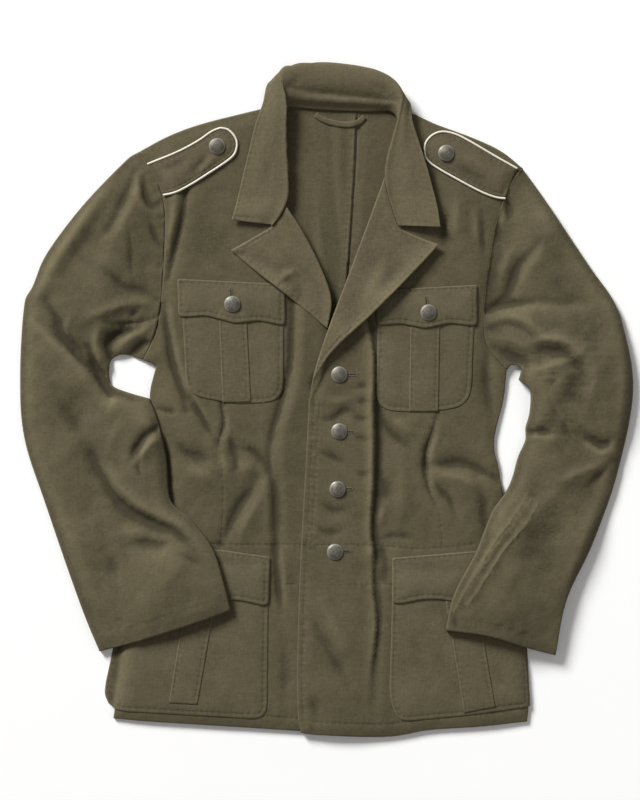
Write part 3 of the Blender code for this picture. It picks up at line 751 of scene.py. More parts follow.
def lay(node, look, slot, grid, ply=ONE_PLY, wall=1.6, creases=(), sewing=(), crumple=0.0, crown=None,
        puff=0.0, pressed=(), joined=(), overlap=0.0, free=False, bridge=8):
    """Cuts a sheet for a node, gives it its height, creases and thickness, and lays it on the pile.

    A panel lies at its plain wall's height and puffs up from its edges, but not within reach of the
    pressed stretches of its edge. A patch has a crown instead, and lies on whatever is below it. Joined
    stretches meet another sheet, aren't rounded and may overlap it. A free sheet's edges hang in the air.
    The bridge says over how many points the cloth slopes up to what lifts it."""
    coarse, triangles, loop = upper_side(node)
    edge = softened(loop)
    for start, stop in joined:
        on = nearest(edge, along_edge(edge, start, stop), NEARBY)[0] < 0.1
        edge = np.where(on[:, None], moved_in(edge, -overlap, closed=True), edge)
    lines = [resolved(row, edge) for row in sewing]
    points, faces, rim = cut(edge, grid, [line.path for line in lines])
    links = links_of(faces)
    if crown is None:
        tree = BVHTree.FromPolygons(coarse.tolist(), triangles)
        hits = [drop(tree, x, y) or tree.find_nearest(Vector((x, y, 5)))[0] for x, y in points]
        base = relaxed(np.array([hit.z for hit in hits]) - wall, links, 40)
    else:
        base = relaxed(PILE.tops(points, 1.0, edge), links, 6) + crown * arch(rim, CROWN_REACH)
    loft = puff * (0.25 + 0.75 * arch(rim, ROLL))
    for start, stop, reach in pressed:
        loft *= 0.15 + 0.85 * ease(nearest(points, along_edge(edge, start, stop), reach)[0] / reach)
    base += loft + creased(points, creases)
    if crumple:
        uneven = waves(points, 42, len(SHEETS)) + 0.45 * waves(points, 16, 7 + len(SHEETS))
        base += crumple * np.clip(rim / CALM, 0, 1) * uneven
    stitch, along = np.full(len(points), NO_STITCH), np.zeros(len(points))
    for number, line in enumerate(lines):
        far, _, on = nearest(points, line.path, 16)
        closer = far < stitch
        if line.thread:
            stitch[closer], along[closer] = far[closer], on[closer]
        base += line.pucker * puckered(points, line.path, number * 5.3 + len(SHEETS))
    under = PILE.tops(points, 0.45 * grid, edge)
    base = lifted(base, under, links, bridge)
    open_rim = rim
    for start, stop in joined:
        from_joint = nearest(points, along_edge(edge, start, stop), NEARBY)[0]
        open_rim = np.where(from_joint < 2 * EDGE_ROUND, EDGE_ROUND, open_rim)
    corners, sides = thick(points, faces, base, base if free else under, open_rim, ply, sunk(stitch))
    # height of each point above the cloth round it, which the twill turns into painted shade in hollows and
    # painted highlight on crests
    painted_fold_shade = (base - relaxed(base, links, round(PAINTED_SHADE_REACH / grid) ** 2)) * np.clip(rim / 6, 0, 1)
    marks = dict(rim=np.where(open_rim > rim, RIM_REACH, rim), stitch=stitch, along=along, painted_fold_shade=painted_fold_shade)
    numbers = {key: np.tile(values, 2) for key, values in marks.items()}
    obj = mesh_of(f"{node}_cloth", corners, sides, look, **numbers)
    upper = corners[: len(points)]
    PILE.add(upper, faces)
    THREADS.setdefault(slot, []).extend((line.path, PILE.layers[-1][0]) for line in lines if line.thread)
    x, y = edge.T
    area = 0.5 * np.sum(x * np.roll(y, -1) - np.roll(x, -1) * y)
    size = cut_size(edge, area)
    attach(obj, "root")
    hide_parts(node)
    SHEETS[node] = obj
    print(f"{node}: {len(sides)} faces, cut {size[0] / MM:.0f} by {size[1] / MM:.0f} mm")


# %% [markdown]
# ## Back and hanger loop
#
# The tunic lies on its back, so the back is nearly flat and rests on the table. It shows in the neck and
# from below. Its centre seam is pressed open and stitched, and soft creases run where the sleeves pull.

# %% Back
BACK_CREASES = [
    Crease(2.6, 1.5, 8, 0.9, 0.3, [(33, 334), (30, 262), (24, 165), (12, 60)]),
    Crease(-2.6, 3, 1.2, 0.9, 0.3, [(36.5, 334), (34, 262), (27, 165), (15, 60)]),
    Crease(1.2, 5, 5, 0.6, 0.1, [(11, 324), (14, 250), (19, 177)]),
    Crease(-0.9, 5, 5, 0.6, 0.1, [(3, 322), (6, 250), (12, 180)]),
    Crease(2.0, 4, 8, 0.2, 0.3, [(-12, 250), (-8, 170), (4, 100), (2, 60)]),
    Crease(2.1, 9, 6, 0.2, 0.1, [(-190, 150), (-120, 128), (-60, 136)]),
    Crease(1.8, 7, 9, 0.2, 0.1, [(-196, 60), (-130, 20), (-84, 24)]),
    Crease(1.5, 8, 7, 0.1, 0.2, [(188, 130), (130, 104), (82, 110)]),
    Crease(2.0, 7, 9, 0.2, 0.1, [(194, 30), (140, 2), (70, -6), (30, 6)]),
    Crease(1.5, 8, 8, 0.1, 0.2, [(-60, -60), (-96, -150), (-90, -260)]),
    Crease(1.8, 9, 7, 0.1, 0.2, [(90, -70), (110, -180), (100, -300)]),
    Crease(1.4, 6, 9, 0.2, 0.1, [(-180, -180), (-150, -260), (-156, -340)]),
    Crease(1.5, 8, 6, 0.1, 0.2, [(200, -160), (176, -250), (180, -350)]),
]
BACK_SEWING = {
    "right": [
        Sewn([(32, 345), (30, 280), (22, 160), (7, -120), (-9, -390)]),
        Topstitch((-252, -376), (-4, -392), 16),
        Sewn([(-222, -168), (-120, -172), (2, -174)]),
    ],
    "left": [
        Topstitch((-4, -392), (237, -380), 16),
        Sewn([(14, -174), (120, -174), (216, -166)]),
    ],
}
for side in ("right", "left"):
    lay(f"back_{side}", BODY_TWILL, "body_twill", 5.0, creases=BACK_CREASES, sewing=BACK_SEWING[side],
        crumple=0.25)

# %% Hanger loop
lay("hanger_loop", BODY_TWILL, "body_twill", 1.6, ply=1.6, crown=1.4)

# %% [markdown]
# ## Fronts
#
# The wearer's left front laps over the right one. The edge of the hidden underlap shows through as a
# sharp step beside the buttons. Long soft creases run down from the pockets and from the armholes,
# where the weight of the folded sleeves draws the cloth.

# %% Creases and seams of the fronts
UNDERLAP = [(42, 104), (52, 68), (55, 41), (54, -7), (55, -47), (54, -97), (51, -156), (54, -179)]
UNDERLAP_OF_SKIRT = [(54, -180), (53, -219), (57, -251), (57, -270), (51, -322), (49, -350)]


def moved_across(path, amount):
    return [(x + amount, y) for x, y in path]


FRONT_CREASES = [
    # wearer's right, from the armhole down
    Crease(3.4, 4, 4, 0.5, 0.2, [(-178, 244), (-181, 215), (-187, 180), (-191, 146)]),
    Crease(-5.5, 2.6, 3.6, 0.6, 0.4, [(-166, 248), (-170, 215), (-178, 180), (-187, 142)]),
    Crease(-2.2, 26, 26, 0.1, 0.1, [(-110, 200), (-140, 170), (-150, 150)]),
    Crease(-4.5, 5, 5, 0.6, 0.5, [(-193, 113), (-188, 80), (-183, 50), (-177, 28), (-170, 8), (-166, -12)]),
    Crease(3.6, 5, 4, 0.4, 0.3, [(-184, 104), (-178, 64), (-169, 30), (-158, 8), (-146, -12), (-133, -44)]),
    Crease(-4.4, 3, 5, 0.4, 0.4, [(-161, 4), (-148, -18), (-136, -38), (-129, -52)]),
    Crease(-3.0, 2.5, 3.5, 0.7, 0.3, [(-124, -5), (-121, -28), (-126, -46), (-129, -60)]),
    Crease(2.4, 4, 4, 0.3, 0.2, [(-118, -12), (-116, -38), (-119, -62)]),
    Crease(-3.0, 5, 4, 0.3, 0.1, [(-118, -32), (-111, -56), (-107, -74), (-111, -90)]),
    Crease(2.8, 5, 5, 0.2, 0.1, [(-126, -58), (-119, -78), (-112, -96)]),
    Crease(-2.4, 3, 3, 0.7, 0.2, [(-198, -10), (-186, -13), (-174, -14)]),
    Crease(-5.0, 9, 10, 0.3, 0.3, [(-180, -44), (-168, -60), (-150, -67), (-130, -68)]),
    Crease(3.0, 9, 9, 0.2, 0.2, [(-170, -80), (-148, -88), (-126, -96)]),
    Crease(-3.4, 6, 5, 0.2, 0.2, [(-106, -56), (-88, -60), (-76, -72), (-70, -88)]),
    Crease(3.0, 8, 8, 0.1, 0.1, [(-108, -70), (-94, -80), (-82, -84)]),
    Crease(-5.4, 5, 10, 0.2, 0.5, [(-82, -92), (-90, -106), (-104, -128), (-114, -148), (-124, -170)]),
    Crease(3.0, 7, 6, 0.2, 0.3, [(-72, -98), (-82, -122), (-96, -146), (-104, -168)]),
    Crease(-4.6, 3.5, 6, 0.7, 0.4, [(-40, 120), (-41, 78), (-43, 41), (-50, 11), (-56, -12), (-63, -34),
                                    (-68, -62), (-67, -82)]),
    Crease(-3.6, 7, 3, 0.1, 0.7, [(-69, -72), (-65, -92), (-61, -112), (-61, -140), (-61, -172)]),
    Crease(2.0, 8, 10, 0.5, 0.4, [(-28, 110), (-29, 70), (-32, 30), (-42, -10), (-52, -50), (-50, -100),
                                  (-49, -165)]),
    Crease(2.2, 6, 8, 0.2, 0.4, [(-76, -76), (-72, -100), (-70, -140), (-70, -168)]),
    Crease(-4.5, 5, 6, 0.2, 0.6, [(-196, -30), (-190, -60), (-187, -90), (-183, -118)]),
    # between the two front edges and round the buttons
    Crease(-3.0, 5, 4, 0.1, 0.1, [(-4, 36), (-10, 30), (-19, 8)]),
    Crease(-2.6, 3, 5, 0.1, 0.1, [(-12, -22), (6, -22), (23, -12), (41, -17)]),
    Crease(2.0, 5, 5, 0.1, 0.1, [(-8, 4), (10, -2), (36, 6)]),
    Crease(-2.0, 5, 4, 0.1, 0.1, [(-16, -58), (4, -66), (30, -78)]),
    Crease(-2.2, 5, 4, 0.1, 0.1, [(-14, -118), (10, -130), (34, -124)]),
    Crease(-2.2, 5, 4, 0.1, 0.1, [(-18, -146), (2, -156), (26, -150)]),
    Crease(-1.8, 2.5, 4, 0.1, 0.3, [(30, 14), (42, 17), (54, 15)]),
    Crease(-1.6, 2.5, 4, 0.1, 0.3, [(34, -4), (44, -1), (54, -5)]),
    Crease(-1.8, 2.5, 4, 0.1, 0.3, [(28, -18), (42, -22), (54, -20)]),
    Crease(-1.6, 2.5, 4, 0.1, 0.3, [(30, -47), (42, -44), (54, -48)]),
    Crease(-1.5, 3, 4, 0.1, 0.3, [(32, -84), (44, -88), (54, -86)]),
    # the step over the underlap
    Crease(5.0, 1.2, 11, 0.4, 0.6, UNDERLAP),
    Crease(-4.4, 11, 1.2, 0.4, 0.6, moved_across(UNDERLAP, 4)),
    Crease(2.6, 1.2, 10, 0.6, 0.2, UNDERLAP_OF_SKIRT),
    Crease(-2.6, 10, 1.2, 0.6, 0.2, moved_across(UNDERLAP_OF_SKIRT, 4)),
    # wearer's left, below the chest pocket
    Crease(-3.4, 8, 6, 0.5, 0.1, [(60, -14), (74, -36), (92, -52), (106, -64)]),
    Crease(3.0, 8, 6, 0.2, 0.1, [(76, -18), (92, -34), (106, -44)]),
    Crease(-5.0, 2, 4, 0.2, 0.2, [(131, -18), (125, -38), (118, -60), (117, -82), (120, -104), (129, -126)]),
    Crease(1.8, 8, 3, 0.1, 0.1, [(136, -26), (130, -46), (123, -64), (123, -84), (127, -104)]),
    Crease(3.0, 10, 10, 0.1, 0.3, [(86, -56), (90, -100), (82, -160)]),
    Crease(-3.0, 8, 8, 0.3, 0.2, [(62, -88), (70, -104), (68, -124)]),
    Crease(-6.0, 11, 6, 0.5, 0.6, [(120, -78), (140, -76), (160, -75), (180, -82), (202, -94)]),
    Crease(3.6, 6, 12, 0.2, 0.3, [(128, -92), (148, -90), (168, -96), (186, -108)]),
    Crease(-2.6, 4, 4, 0.5, 0.2, [(122, -84), (134, -106), (146, -120), (152, -142)]),
    Crease(-5.0, 12, 9, 0.2, 0.5, [(176, -92), (184, -112), (188, -150), (204, -176)]),
    Crease(-4.6, 9, 10, 0.4, 0.2, [(194, 70), (188, 36), (192, -6), (196, -40)]),
    Crease(2.4, 3, 3, 0.2, 0.2, [(68, -120), (65, -136), (64, -152)]),
    Crease(-2.0, 3, 4, 0.2, 0.1, [(58, -166), (80, -160), (110, -164)]),
    Crease(2.6, 8, 8, 0.1, 0.1, [(160, 246), (152, 214), (158, 180)]),
    Crease(-2.8, 8, 8, 0.1, 0.1, [(146, 236), (138, 200), (140, 160)]),
    Crease(2.0, 4, 3, 0.4, 0.1, [(174, 222), (177, 200), (179, 178)]),
    Crease(-2.0, 3, 3, 0.3, 0.1, [(183, 222), (184, 200), (186, 160)]),
    # skirt
    Crease(-3.6, 5, 4, 0.8, 0.1, [(-61, -178), (-58, -210), (-54, -253)]),
    Crease(2.6, 4, 5, 0.6, 0.1, [(-53, -178), (-49, -215), (-47, -250)]),
    Crease(-3.4, 12, 10, 0.2, 0.2, [(-21, -246), (-8, -276), (1, -293), (16, -320), (30, -352)]),
    Crease(3.4, 12, 14, 0.2, 0.2, [(-4, -238), (8, -264), (20, -290), (34, -318)]),
    Crease(-2.8, 10, 10, 0.1, 0.3, [(-56, -262), (-50, -310), (-52, -380)]),
    Crease(2.4, 10, 10, 0.2, 0.4, [(72, -200), (68, -260), (66, -330), (64, -385)]),
    Crease(-3.0, 6, 6, 0.7, 0.1, [(66, -178), (70, -196), (66, -224)]),
    Crease(-2.8, 9, 9, 0.1, 0.5, [(-20, -340), (-14, -366), (-16, -390)]),
]
WAIST_RIGHT = [(-216, -166), (-150, -170), (-95, -171), (-34, -171), (30, -171)]
WAIST_LEFT = [(-30, -172), (20, -171), (57, -172), (107, -176), (160, -172), (216, -164)]
FRONT_SEWING = {
    "right": [
        Sewn([(-124, -2), (-121, -28), (-126, -50), (-123, -76), (-121, -104), (-124, -170)], 0.3),
        Sewn(WAIST_RIGHT, 0.25),
        Sewn([(-53, -218), (-36, -218)], 0.6),
        Topstitch((-252, -376), (40, -395), 15),
        Sewn([(-52, 300), (-100, 306), (-160, 300), (-200, 284)], 0.2, False),
        Topstitch((-220, 294), (-217, 50), 0.5, 0.4, False),
    ],
    "left": [
        Topstitch((-21, -2), (-30, -393), 7, 0.45),
        Topstitch((-21, -2), (-26, -176), 13, 0.35),
        Sewn([(131, -16), (125, -38), (118, -60), (118, -82), (122, -106), (132, -128), (136, -150),
              (137, -175)], 0.3),
        Sewn(WAIST_LEFT, 0.25),
        Sewn([(29, -218), (53, -218)], 0.6),
        Sewn([(58, -218), (76, -218)], 0.6),
        Topstitch((-30, -393), (237, -380), 15),
    ],
}
ARMHOLES = {"right": [], "left": [((213, 36), (231, 274))]}

# %% [markdown]
# ## Patch pockets
#
# A patch pocket is a bag with a box pleat down its middle, stitched to the front along its sides and
# bottom, under a flap with a buttonhole. Bag, pleat and flap are each laid on what is below them, so the
# front's creases show through them, softened, and the topstitching presses a groove 5 mm inside each edge.

# %% Sewing of the pockets and lapels
POCKET_SEWING = {
    "chest_right": ([(-172, 133), (-50, 133)], [(-176, 143), (-49, 137)]),
    "chest_left": ([(61, 124), (176, 130)], [(58, 129), (178, 136)]),
    "skirt_right": ([(-226, -195), (-68, -195)], [(-206, -181), (-66, -185)]),
    "skirt_left": ([(78, -201), (222, -201)], [(77, -186), (211, -175)]),
}
PLEAT_EDGES = {
    "chest_right": [(-127, 100), (-94, 100), (-89, -2.5), (-123, -3)],
    "chest_left": [(99, 98), (134, 98), (132, -13.5), (97, -13.5)],
    "skirt_right": [(-166, -232), (-130, -232), (-152, -359), (-186, -357)],
    "skirt_left": [(140, -236), (178, -238), (199, -362), (162, -369)],
}
LAPEL_SEWING = {
    "right": [Topstitch((-65, 204), (2, 83), 4.5, 0.2)],
    "left": [Topstitch((-21, -2), (86, 203), 4.5, 0.2)],
}
LAPEL_CREASES = [
    # the points stand off the chest
    Crease(12.0, 20, 20, 0.4, 0.8, [(-6, 30), (16, 58), (60, 102), (100, 142), (136, 180)]),
    Crease(4.5, 16, 16, 0.1, 0.7, [(-20, 104), (-60, 134), (-88, 156), (-112, 176)]),
    Crease(1.7, 3, 3, 0.5, 0.2, [(-109, 174), (-92, 185), (-76, 197)]),
    Crease(-1.8, 3, 4, 0.5, 0.2, [(-106, 170), (-84, 181), (-67, 198)]),
    Crease(1.8, 5, 4, 0.1, 0.1, [(-56, 140), (-44, 150), (-31, 155)]),
    Crease(-1.5, 4, 5, 0.1, 0.1, [(-58, 132), (-46, 141), (-34, 145)]),
    Crease(1.8, 10, 10, 0.1, 0.1, [(70, 180), (58, 140), (34, 100)]),
    Crease(-1.4, 9, 9, 0.1, 0.1, [(92, 170), (70, 140), (48, 120)]),
]


def lay_pocket(name, crown):
    """The bag, its pleat and the flap over them."""
    bag, flap = POCKET_SEWING[name]
    left, right, low_right, low_left = PLEAT_EDGES[name]
    for piece, grid, ply, rise, crumple, sewing in (
        ("pocket", 3.2, 0.55, crown, 0.4, [Topstitch(*bag, 4.5, 0.2)]),
        ("pleat", 2.6, 0.6, 0.25, 0.12, [Topstitch(left, low_left, 3.5), Topstitch(low_right, right, 3.5)]),
        ("flap", 2.6, TWO_PLY, 1.0, 0.3, [Topstitch(*flap, 5, 0.2), Topstitch(*reversed(flap), 3.5, 0.15)]),
    ):
        lay(f"{name}_{piece}", POCKET_TWILL, "pocket_twill", grid, ply=ply, crown=rise, crumple=crumple,
            bridge=2, sewing=sewing)


# %% Lay each front with its pockets and lapel
for side in ("right", "left"):
    lay(f"front_{side}", BODY_TWILL, "body_twill", 3.2, creases=FRONT_CREASES, sewing=FRONT_SEWING[side],
        crumple=0.6, puff=3.0, joined=ARMHOLES[side])
    lay_pocket(f"chest_{side}", 1.0)
    lay_pocket(f"skirt_{side}", 1.8)
    lay(f"lapel_{side}", COLLAR_TWILL, "collar_twill", 2.4, ply=TWO_PLY, wall=1.8, creases=LAPEL_CREASES,
        sewing=LAPEL_SEWING[side], crumple=0.3, free=True, bridge=4)

# %% [markdown]
# ## Sleeves
#
# Both sleeves are bent at the elbow, and cloth that is bent in its own plane has to fold. The inside of the
# bend gathers into deep tongues that run out over the elbow and die away before the outer edge, and
# the forearm keeps one long S-shaped fold. The creases below are in that order, from shoulder to cuff.

# %% Sleeve creases
FOREARM_SEAM = [  # the left forearm's thick seam, as three lines side by side
    [(236, -112), (214, -145), (200, -162), (183, -190), (165, -220), (150, -248)],
    [(240, -115), (220, -146), (203, -165), (186, -192), (169, -218), (153, -247)],
    [(249, -122), (231, -150), (211, -172), (194, -197), (178, -222), (166, -240)],
]
RIGHT_SLEEVE_CREASES = [
    # upper arm
    Crease(6.0, 17, 12, 0.2, 0.6, [(-242, 280), (-262, 250), (-282, 220), (-302, 188), (-322, 158),
                                   (-342, 128)]),
    Crease(-4.0, 22, 12, 0.3, 0.4, [(-236, 272), (-256, 238), (-276, 206), (-294, 178), (-314, 146),
                                    (-334, 116)]),
    Crease(-3.6, 6, 7, 0.4, 0.1, [(-226, 270), (-235, 248), (-247, 222), (-262, 196), (-276, 178)]),
    Crease(2.8, 9, 6, 0.3, 0.1, [(-218, 268), (-226, 240), (-238, 212), (-252, 190)]),
    Crease(-3.4, 3, 4, 0.5, 0.1, [(-217, 262), (-214, 242), (-207, 228), (-198, 232)]),
    Crease(2.4, 4, 4, 0.3, 0.2, [(-224, 262), (-221, 240), (-213, 224), (-203, 218)]),
    Crease(-2.4, 3, 3, 0.1, 0.3, [(-210, 214), (-205, 200), (-200, 186), (-194, 180)]),
    Crease(-1.6, 2.5, 2.5, 0.3, 0.1, [(-233, 212), (-231, 180), (-230, 150), (-224, 131)]),
    Crease(-3.6, 6, 9, 0.1, 0.3, [(-276, 160), (-254, 147), (-236, 133), (-214, 128), (-200, 120)]),
    Crease(3.6, 12, 5, 0.1, 0.3, [(-296, 88), (-276, 99), (-252, 108), (-226, 114), (-200, 113)]),
    Crease(-2.2, 2.5, 3, 0.4, 0.3, [(-262, 92), (-246, 88), (-226, 92), (-200, 99)]),
    Crease(-2.6, 2.5, 2.5, 0.3, 0.2, [(-221, 108), (-228, 101), (-234, 96)]),
    # inside of the bend
    Crease(-8.0, 5, 6, 0.3, 0.5, [(-222, 84), (-240, 80), (-254, 72), (-258, 60), (-254, 50)]),
    Crease(3.4, 5, 9, 0.3, 0.5, [(-248, 54), (-238, 68), (-222, 80), (-204, 90)]),
    Crease(-4.2, 4, 4, 0.3, 0.6, [(-204, 66), (-216, 66), (-226, 58), (-231, 52)]),
    Crease(3.4, 5, 5, 0.2, 0.7, [(-264, 90), (-271, 77), (-271, 62), (-265, 50), (-259, 42)]),
    Crease(-9.0, 5, 6, 0.3, 0.9, [(-280, 62), (-275, 46), (-268, 30), (-261, 16), (-256, 6)]),
    # elbow
    Crease(-7.5, 9, 12, 0.3, 0.7, [(-331, 118), (-319, 96), (-309, 76), (-294, 52), (-278, 28), (-264, 10)]),
    Crease(3.2, 5, 5, 0.2, 0.2, [(-300, 100), (-307, 84), (-303, 68), (-292, 56)]),
    Crease(8.5, 5, 24, 0.2, 0.8, [(-346, 92), (-326, 72), (-304, 53), (-284, 32), (-266, 10), (-250, -2)]),
    Crease(-3.8, 16, 16, 0.1, 0.4, [(-334, 40), (-316, 4), (-300, -24), (-286, -54), (-272, -80)]),
    Crease(3.0, 10, 10, 0.1, 0.2, [(-236, -14), (-252, -46), (-262, -74)]),
    # forearm
    Crease(-8.5, 7, 22, 0.3, 0.2, [(-276, -66), (-262, -94), (-248, -116), (-228, -133), (-203, -145),
                                   (-180, -154), (-162, -168), (-146, -188)]),
    Crease(4.6, 14, 6, 0.2, 0.2, [(-256, -84), (-240, -106), (-220, -124), (-196, -137), (-172, -148),
                                  (-152, -164)]),
    Crease(-6.0, 4, 5, 0.7, 0.1, [(-200, -33), (-212, -41), (-223, -57), (-233, -76)]),
    Crease(4.0, 5, 3, 0.6, 0.1, [(-202, -48), (-212, -57), (-220, -72)]),
    Crease(-2.0, 2.4, 2.4, 0.1, 0.1, [(-218, -66), (-222, -80), (-216, -96)]),
    Crease(-3.2, 4, 9, 0.1, 0.2, [(-240, -173), (-218, -167), (-196, -169), (-172, -166)]),
    Crease(2.4, 8, 8, 0.1, 0.1, [(-250, -158), (-226, -156), (-204, -157)]),
    Crease(-1.2, 12, 11, 0.1, 0.1, [(-262, -176), (-252, -196), (-240, -214)]),
    Crease(-2.2, 4, 4, 0.2, 0.2, [(-172, -180), (-158, -188), (-144, -196)]),
    Crease(2.8, 14, 14, 0.2, 0.4, [(-312, -120), (-292, -180), (-272, -240)]),
]
LEFT_SLEEVE_CREASES = [
    # upper arm
    Crease(-4.0, 7, 6, 0.2, 0.4, [(249, 184), (238, 172), (226, 158), (220, 140), (212, 124), (200, 112)]),
    Crease(2.4, 9, 7, 0.1, 0.3, [(262, 194), (250, 172), (238, 154), (228, 134), (222, 122)]),
    Crease(2.2, 5, 6, 0.1, 0.3, [(228, 186), (216, 172), (210, 156), (206, 136)]),
    Crease(-2.8, 3, 4, 0.6, 0.1, [(213, 236), (216, 224), (214, 208)]),
    Crease(2.2, 3, 3, 0.5, 0.1, [(206, 232), (209, 218), (207, 200)]),
    Crease(-2.0, 3, 3, 0.3, 0.1, [(203, 214), (202, 196), (198, 180)]),
    Crease(3.4, 18, 18, 0.2, 0.1, [(240, 236), (264, 202), (280, 178)]),
    Crease(-4.4, 32, 11, 0.6, 0.1, [(206, 113), (240, 117), (280, 115), (322, 117)]),
    Crease(-4.5, 5, 4, 0.6, 0.2, [(188, 104), (204, 110), (222, 113), (242, 115)]),
    Crease(3.4, 9, 22, 0.4, 0.1, [(186, 96), (204, 103), (226, 107), (256, 108), (300, 108), (334, 110)]),
    # bend
    Crease(2.6, 5, 5, 0.3, 0.2, [(194, 93), (214, 98), (232, 94), (246, 84), (256, 74), (268, 67)]),
    Crease(-2.0, 4, 4, 0.4, 0.2, [(192, 84), (212, 90), (228, 87), (240, 78), (250, 68)]),
    Crease(6.5, 13, 5, 0.2, 0.3, [(238, 66), (252, 71), (279, 69), (295, 59), (305, 47)]),
    Crease(-5.0, 5, 30, 0.2, 0.3, [(246, 55), (262, 57), (279, 54), (293, 43), (299, 34)]),
    Crease(8.0, 34, 14, 0.1, 0.1, [(243, 62), (242, 40), (241, 16), (241, -10), (240, -34), (238, -50)]),
    Crease(6.0, 12, 46, 0.1, 0.3, [(318, 160), (340, 96), (349, 40), (346, -20), (338, -80)]),
    Crease(2.0, 6, 5, 0.4, 0.2, [(196, 72), (214, 71), (236, 61), (256, 53)]),
    Crease(-2.4, 5, 5, 0.4, 0.1, [(198, 60), (214, 56), (226, 48), (232, 36)]),
    Crease(4.0, 8, 6, 0.3, 0.4, [(236, 34), (258, 38), (282, 46), (302, 58)]),
    Crease(7.0, 46, 34, 0.1, 0.1, [(270, 90), (276, 40), (272, -4), (262, -44)]),
    Crease(-7.0, 34, 20, 0.4, 0.2, [(300, 38), (290, 16), (279, -4), (267, -22), (254, -36)]),
    Crease(4.4, 12, 14, 0.2, 0.2, [(308, 64), (315, 36), (312, 6), (302, -20)]),
    Crease(3.4, 4, 8, 0.7, 0.1, [(237, -46), (250, -43), (266, -46), (282, -44)]),
    Crease(-4.0, 4, 5, 0.6, 0.1, [(238, -38), (252, -37), (268, -38)]),
    Crease(3.8, 4, 6, 0.1, 0.1, [(298, -46), (312, -56), (326, -63), (342, -50)]),
    Crease(-3.6, 5, 4, 0.1, 0.1, [(298, -38), (312, -47), (326, -54), (340, -42)]),
    Crease(-1.0, 2.6, 2.6, 0.1, 0.1, [(262, 0), (268, -14), (276, -24)]),
    Crease(-1.0, 2.6, 2.6, 0.1, 0.1, [(272, -20), (282, -34), (288, -46)]),
    Crease(1.0, 2.6, 2.6, 0.1, 0.1, [(268, -4), (276, -16), (284, -30)]),
    # forearm
    Crease(2.6, 5, 6, 0.2, 0.2, [(262, -100), (292, -88), (318, -78), (338, -62)]),
    Crease(-2.6, 4, 4, 0.1, 0.1, [(302, -104), (322, -90), (336, -72)]),
    Crease(-4.0, 26, 26, 0.3, 0.1, [(344, -76), (320, -100), (294, -124), (264, -154), (238, -176),
                                    (214, -196)]),
    Crease(4.0, 10, 14, 0.2, 0.2, [(286, -94), (262, -114), (240, -140), (222, -168)]),
    Crease(9.0, 14, 66, 0.3, 0.9, [(330, -110), (306, -160), (288, -204), (277, -250), (272, -290)]),
    Crease(-1.2, 10, 10, 0.1, 0.1, [(232, -204), (216, -228), (208, -250)]),
    Crease(1.9, 1.6, 2.0, 0.3, 0.5, FOREARM_SEAM[0]),
    Crease(1.6, 1.5, 1.8, 0.3, 0.5, FOREARM_SEAM[1]),
    Crease(1.9, 1.6, 2.0, 0.3, 0.5, FOREARM_SEAM[2]),
    Crease(-1.5, 2.4, 2.4, 0.2, 0.2, [(149, -252), (151, -262), (152, -270)]),
]
UNDER_CREASES = [
    Crease(3.0, 12, 14, 0.2, 0.2, [(-240, 240), (-280, 190), (-322, 130)]),
    Crease(4.5, 9, 12, 0.3, 0.2, [(-262, 50), (-300, 60), (-340, 96)]),
    Crease(3.9, 10, 9, 0.4, 0.2, [(-232, 0), (-274, 8), (-330, -10)]),
    Crease(3.6, 9, 9, 0.2, 0.2, [(-220, -40), (-262, -100), (-286, -180)]),
    Crease(3.0, 12, 14, 0.2, 0.2, [(250, 236), (276, 190), (312, 140)]),
    Crease(4.5, 9, 12, 0.3, 0.2, [(240, 40), (280, 66), (338, 90)]),
    Crease(3.9, 10, 9, 0.4, 0.2, [(244, -10), (290, -4), (346, -20)]),
    Crease(3.6, 9, 9, 0.2, 0.2, [(250, -80), (280, -140), (290, -210)]),
]
SLEEVE_SEWING = {
    "right": [
        Topstitch((-268, -297), (-113, -247), 20, 0.3, False),
        Topstitch((-217, 50), (-220, 294), 1.0, 0.9, False),
        Sewn([(-192, 102), (-214, 92), (-246, 90)], 0.5),
    ],
    "left": [
        Topstitch((140, -271), (270, -301), 16, 0.3, False),
        Sewn(FOREARM_SEAM[0], 0.35, False),
        Sewn(FOREARM_SEAM[1], 0.45),
        Sewn(FOREARM_SEAM[2], 0.4, False),
        Sewn([(176, -262), (177, -272), (178, -284)], 0.1),
    ],
}
PRESSED = {
    "right": [((-268, -297), (-113, -247), 160), ((-217, 47), (-220, 294), 70)],
    "left": [((140, -271), (270, -301), 160), ((231, 274), (213, 36), 70)],
}

# %% Lay the sleeves
for side, creases in (("right", RIGHT_SLEEVE_CREASES), ("left", LEFT_SLEEVE_CREASES)):
    lay(f"sleeve_under_{side}", SLEEVE_TWILL, "sleeve_twill", 5.0, creases=UNDER_CREASES, crumple=0.4)
    lay(f"sleeve_upper_{side}", SLEEVE_TWILL, "sleeve_twill", 3.0, creases=creases,
        sewing=SLEEVE_SEWING[side], crumple=0.8, puff=7.0, pressed=PRESSED[side],
        joined=[pair[::-1] for pair in ARMHOLES[side]], overlap=0.9, bridge=12)

# %% [markdown]
# ## Shoulder straps
#
# A strap is a stiff tongue of two plies, sewn into the armhole at one end and buttoned near the collar at
# the other. It puffs a little between its edges, and a pull runs from the button along the strap.

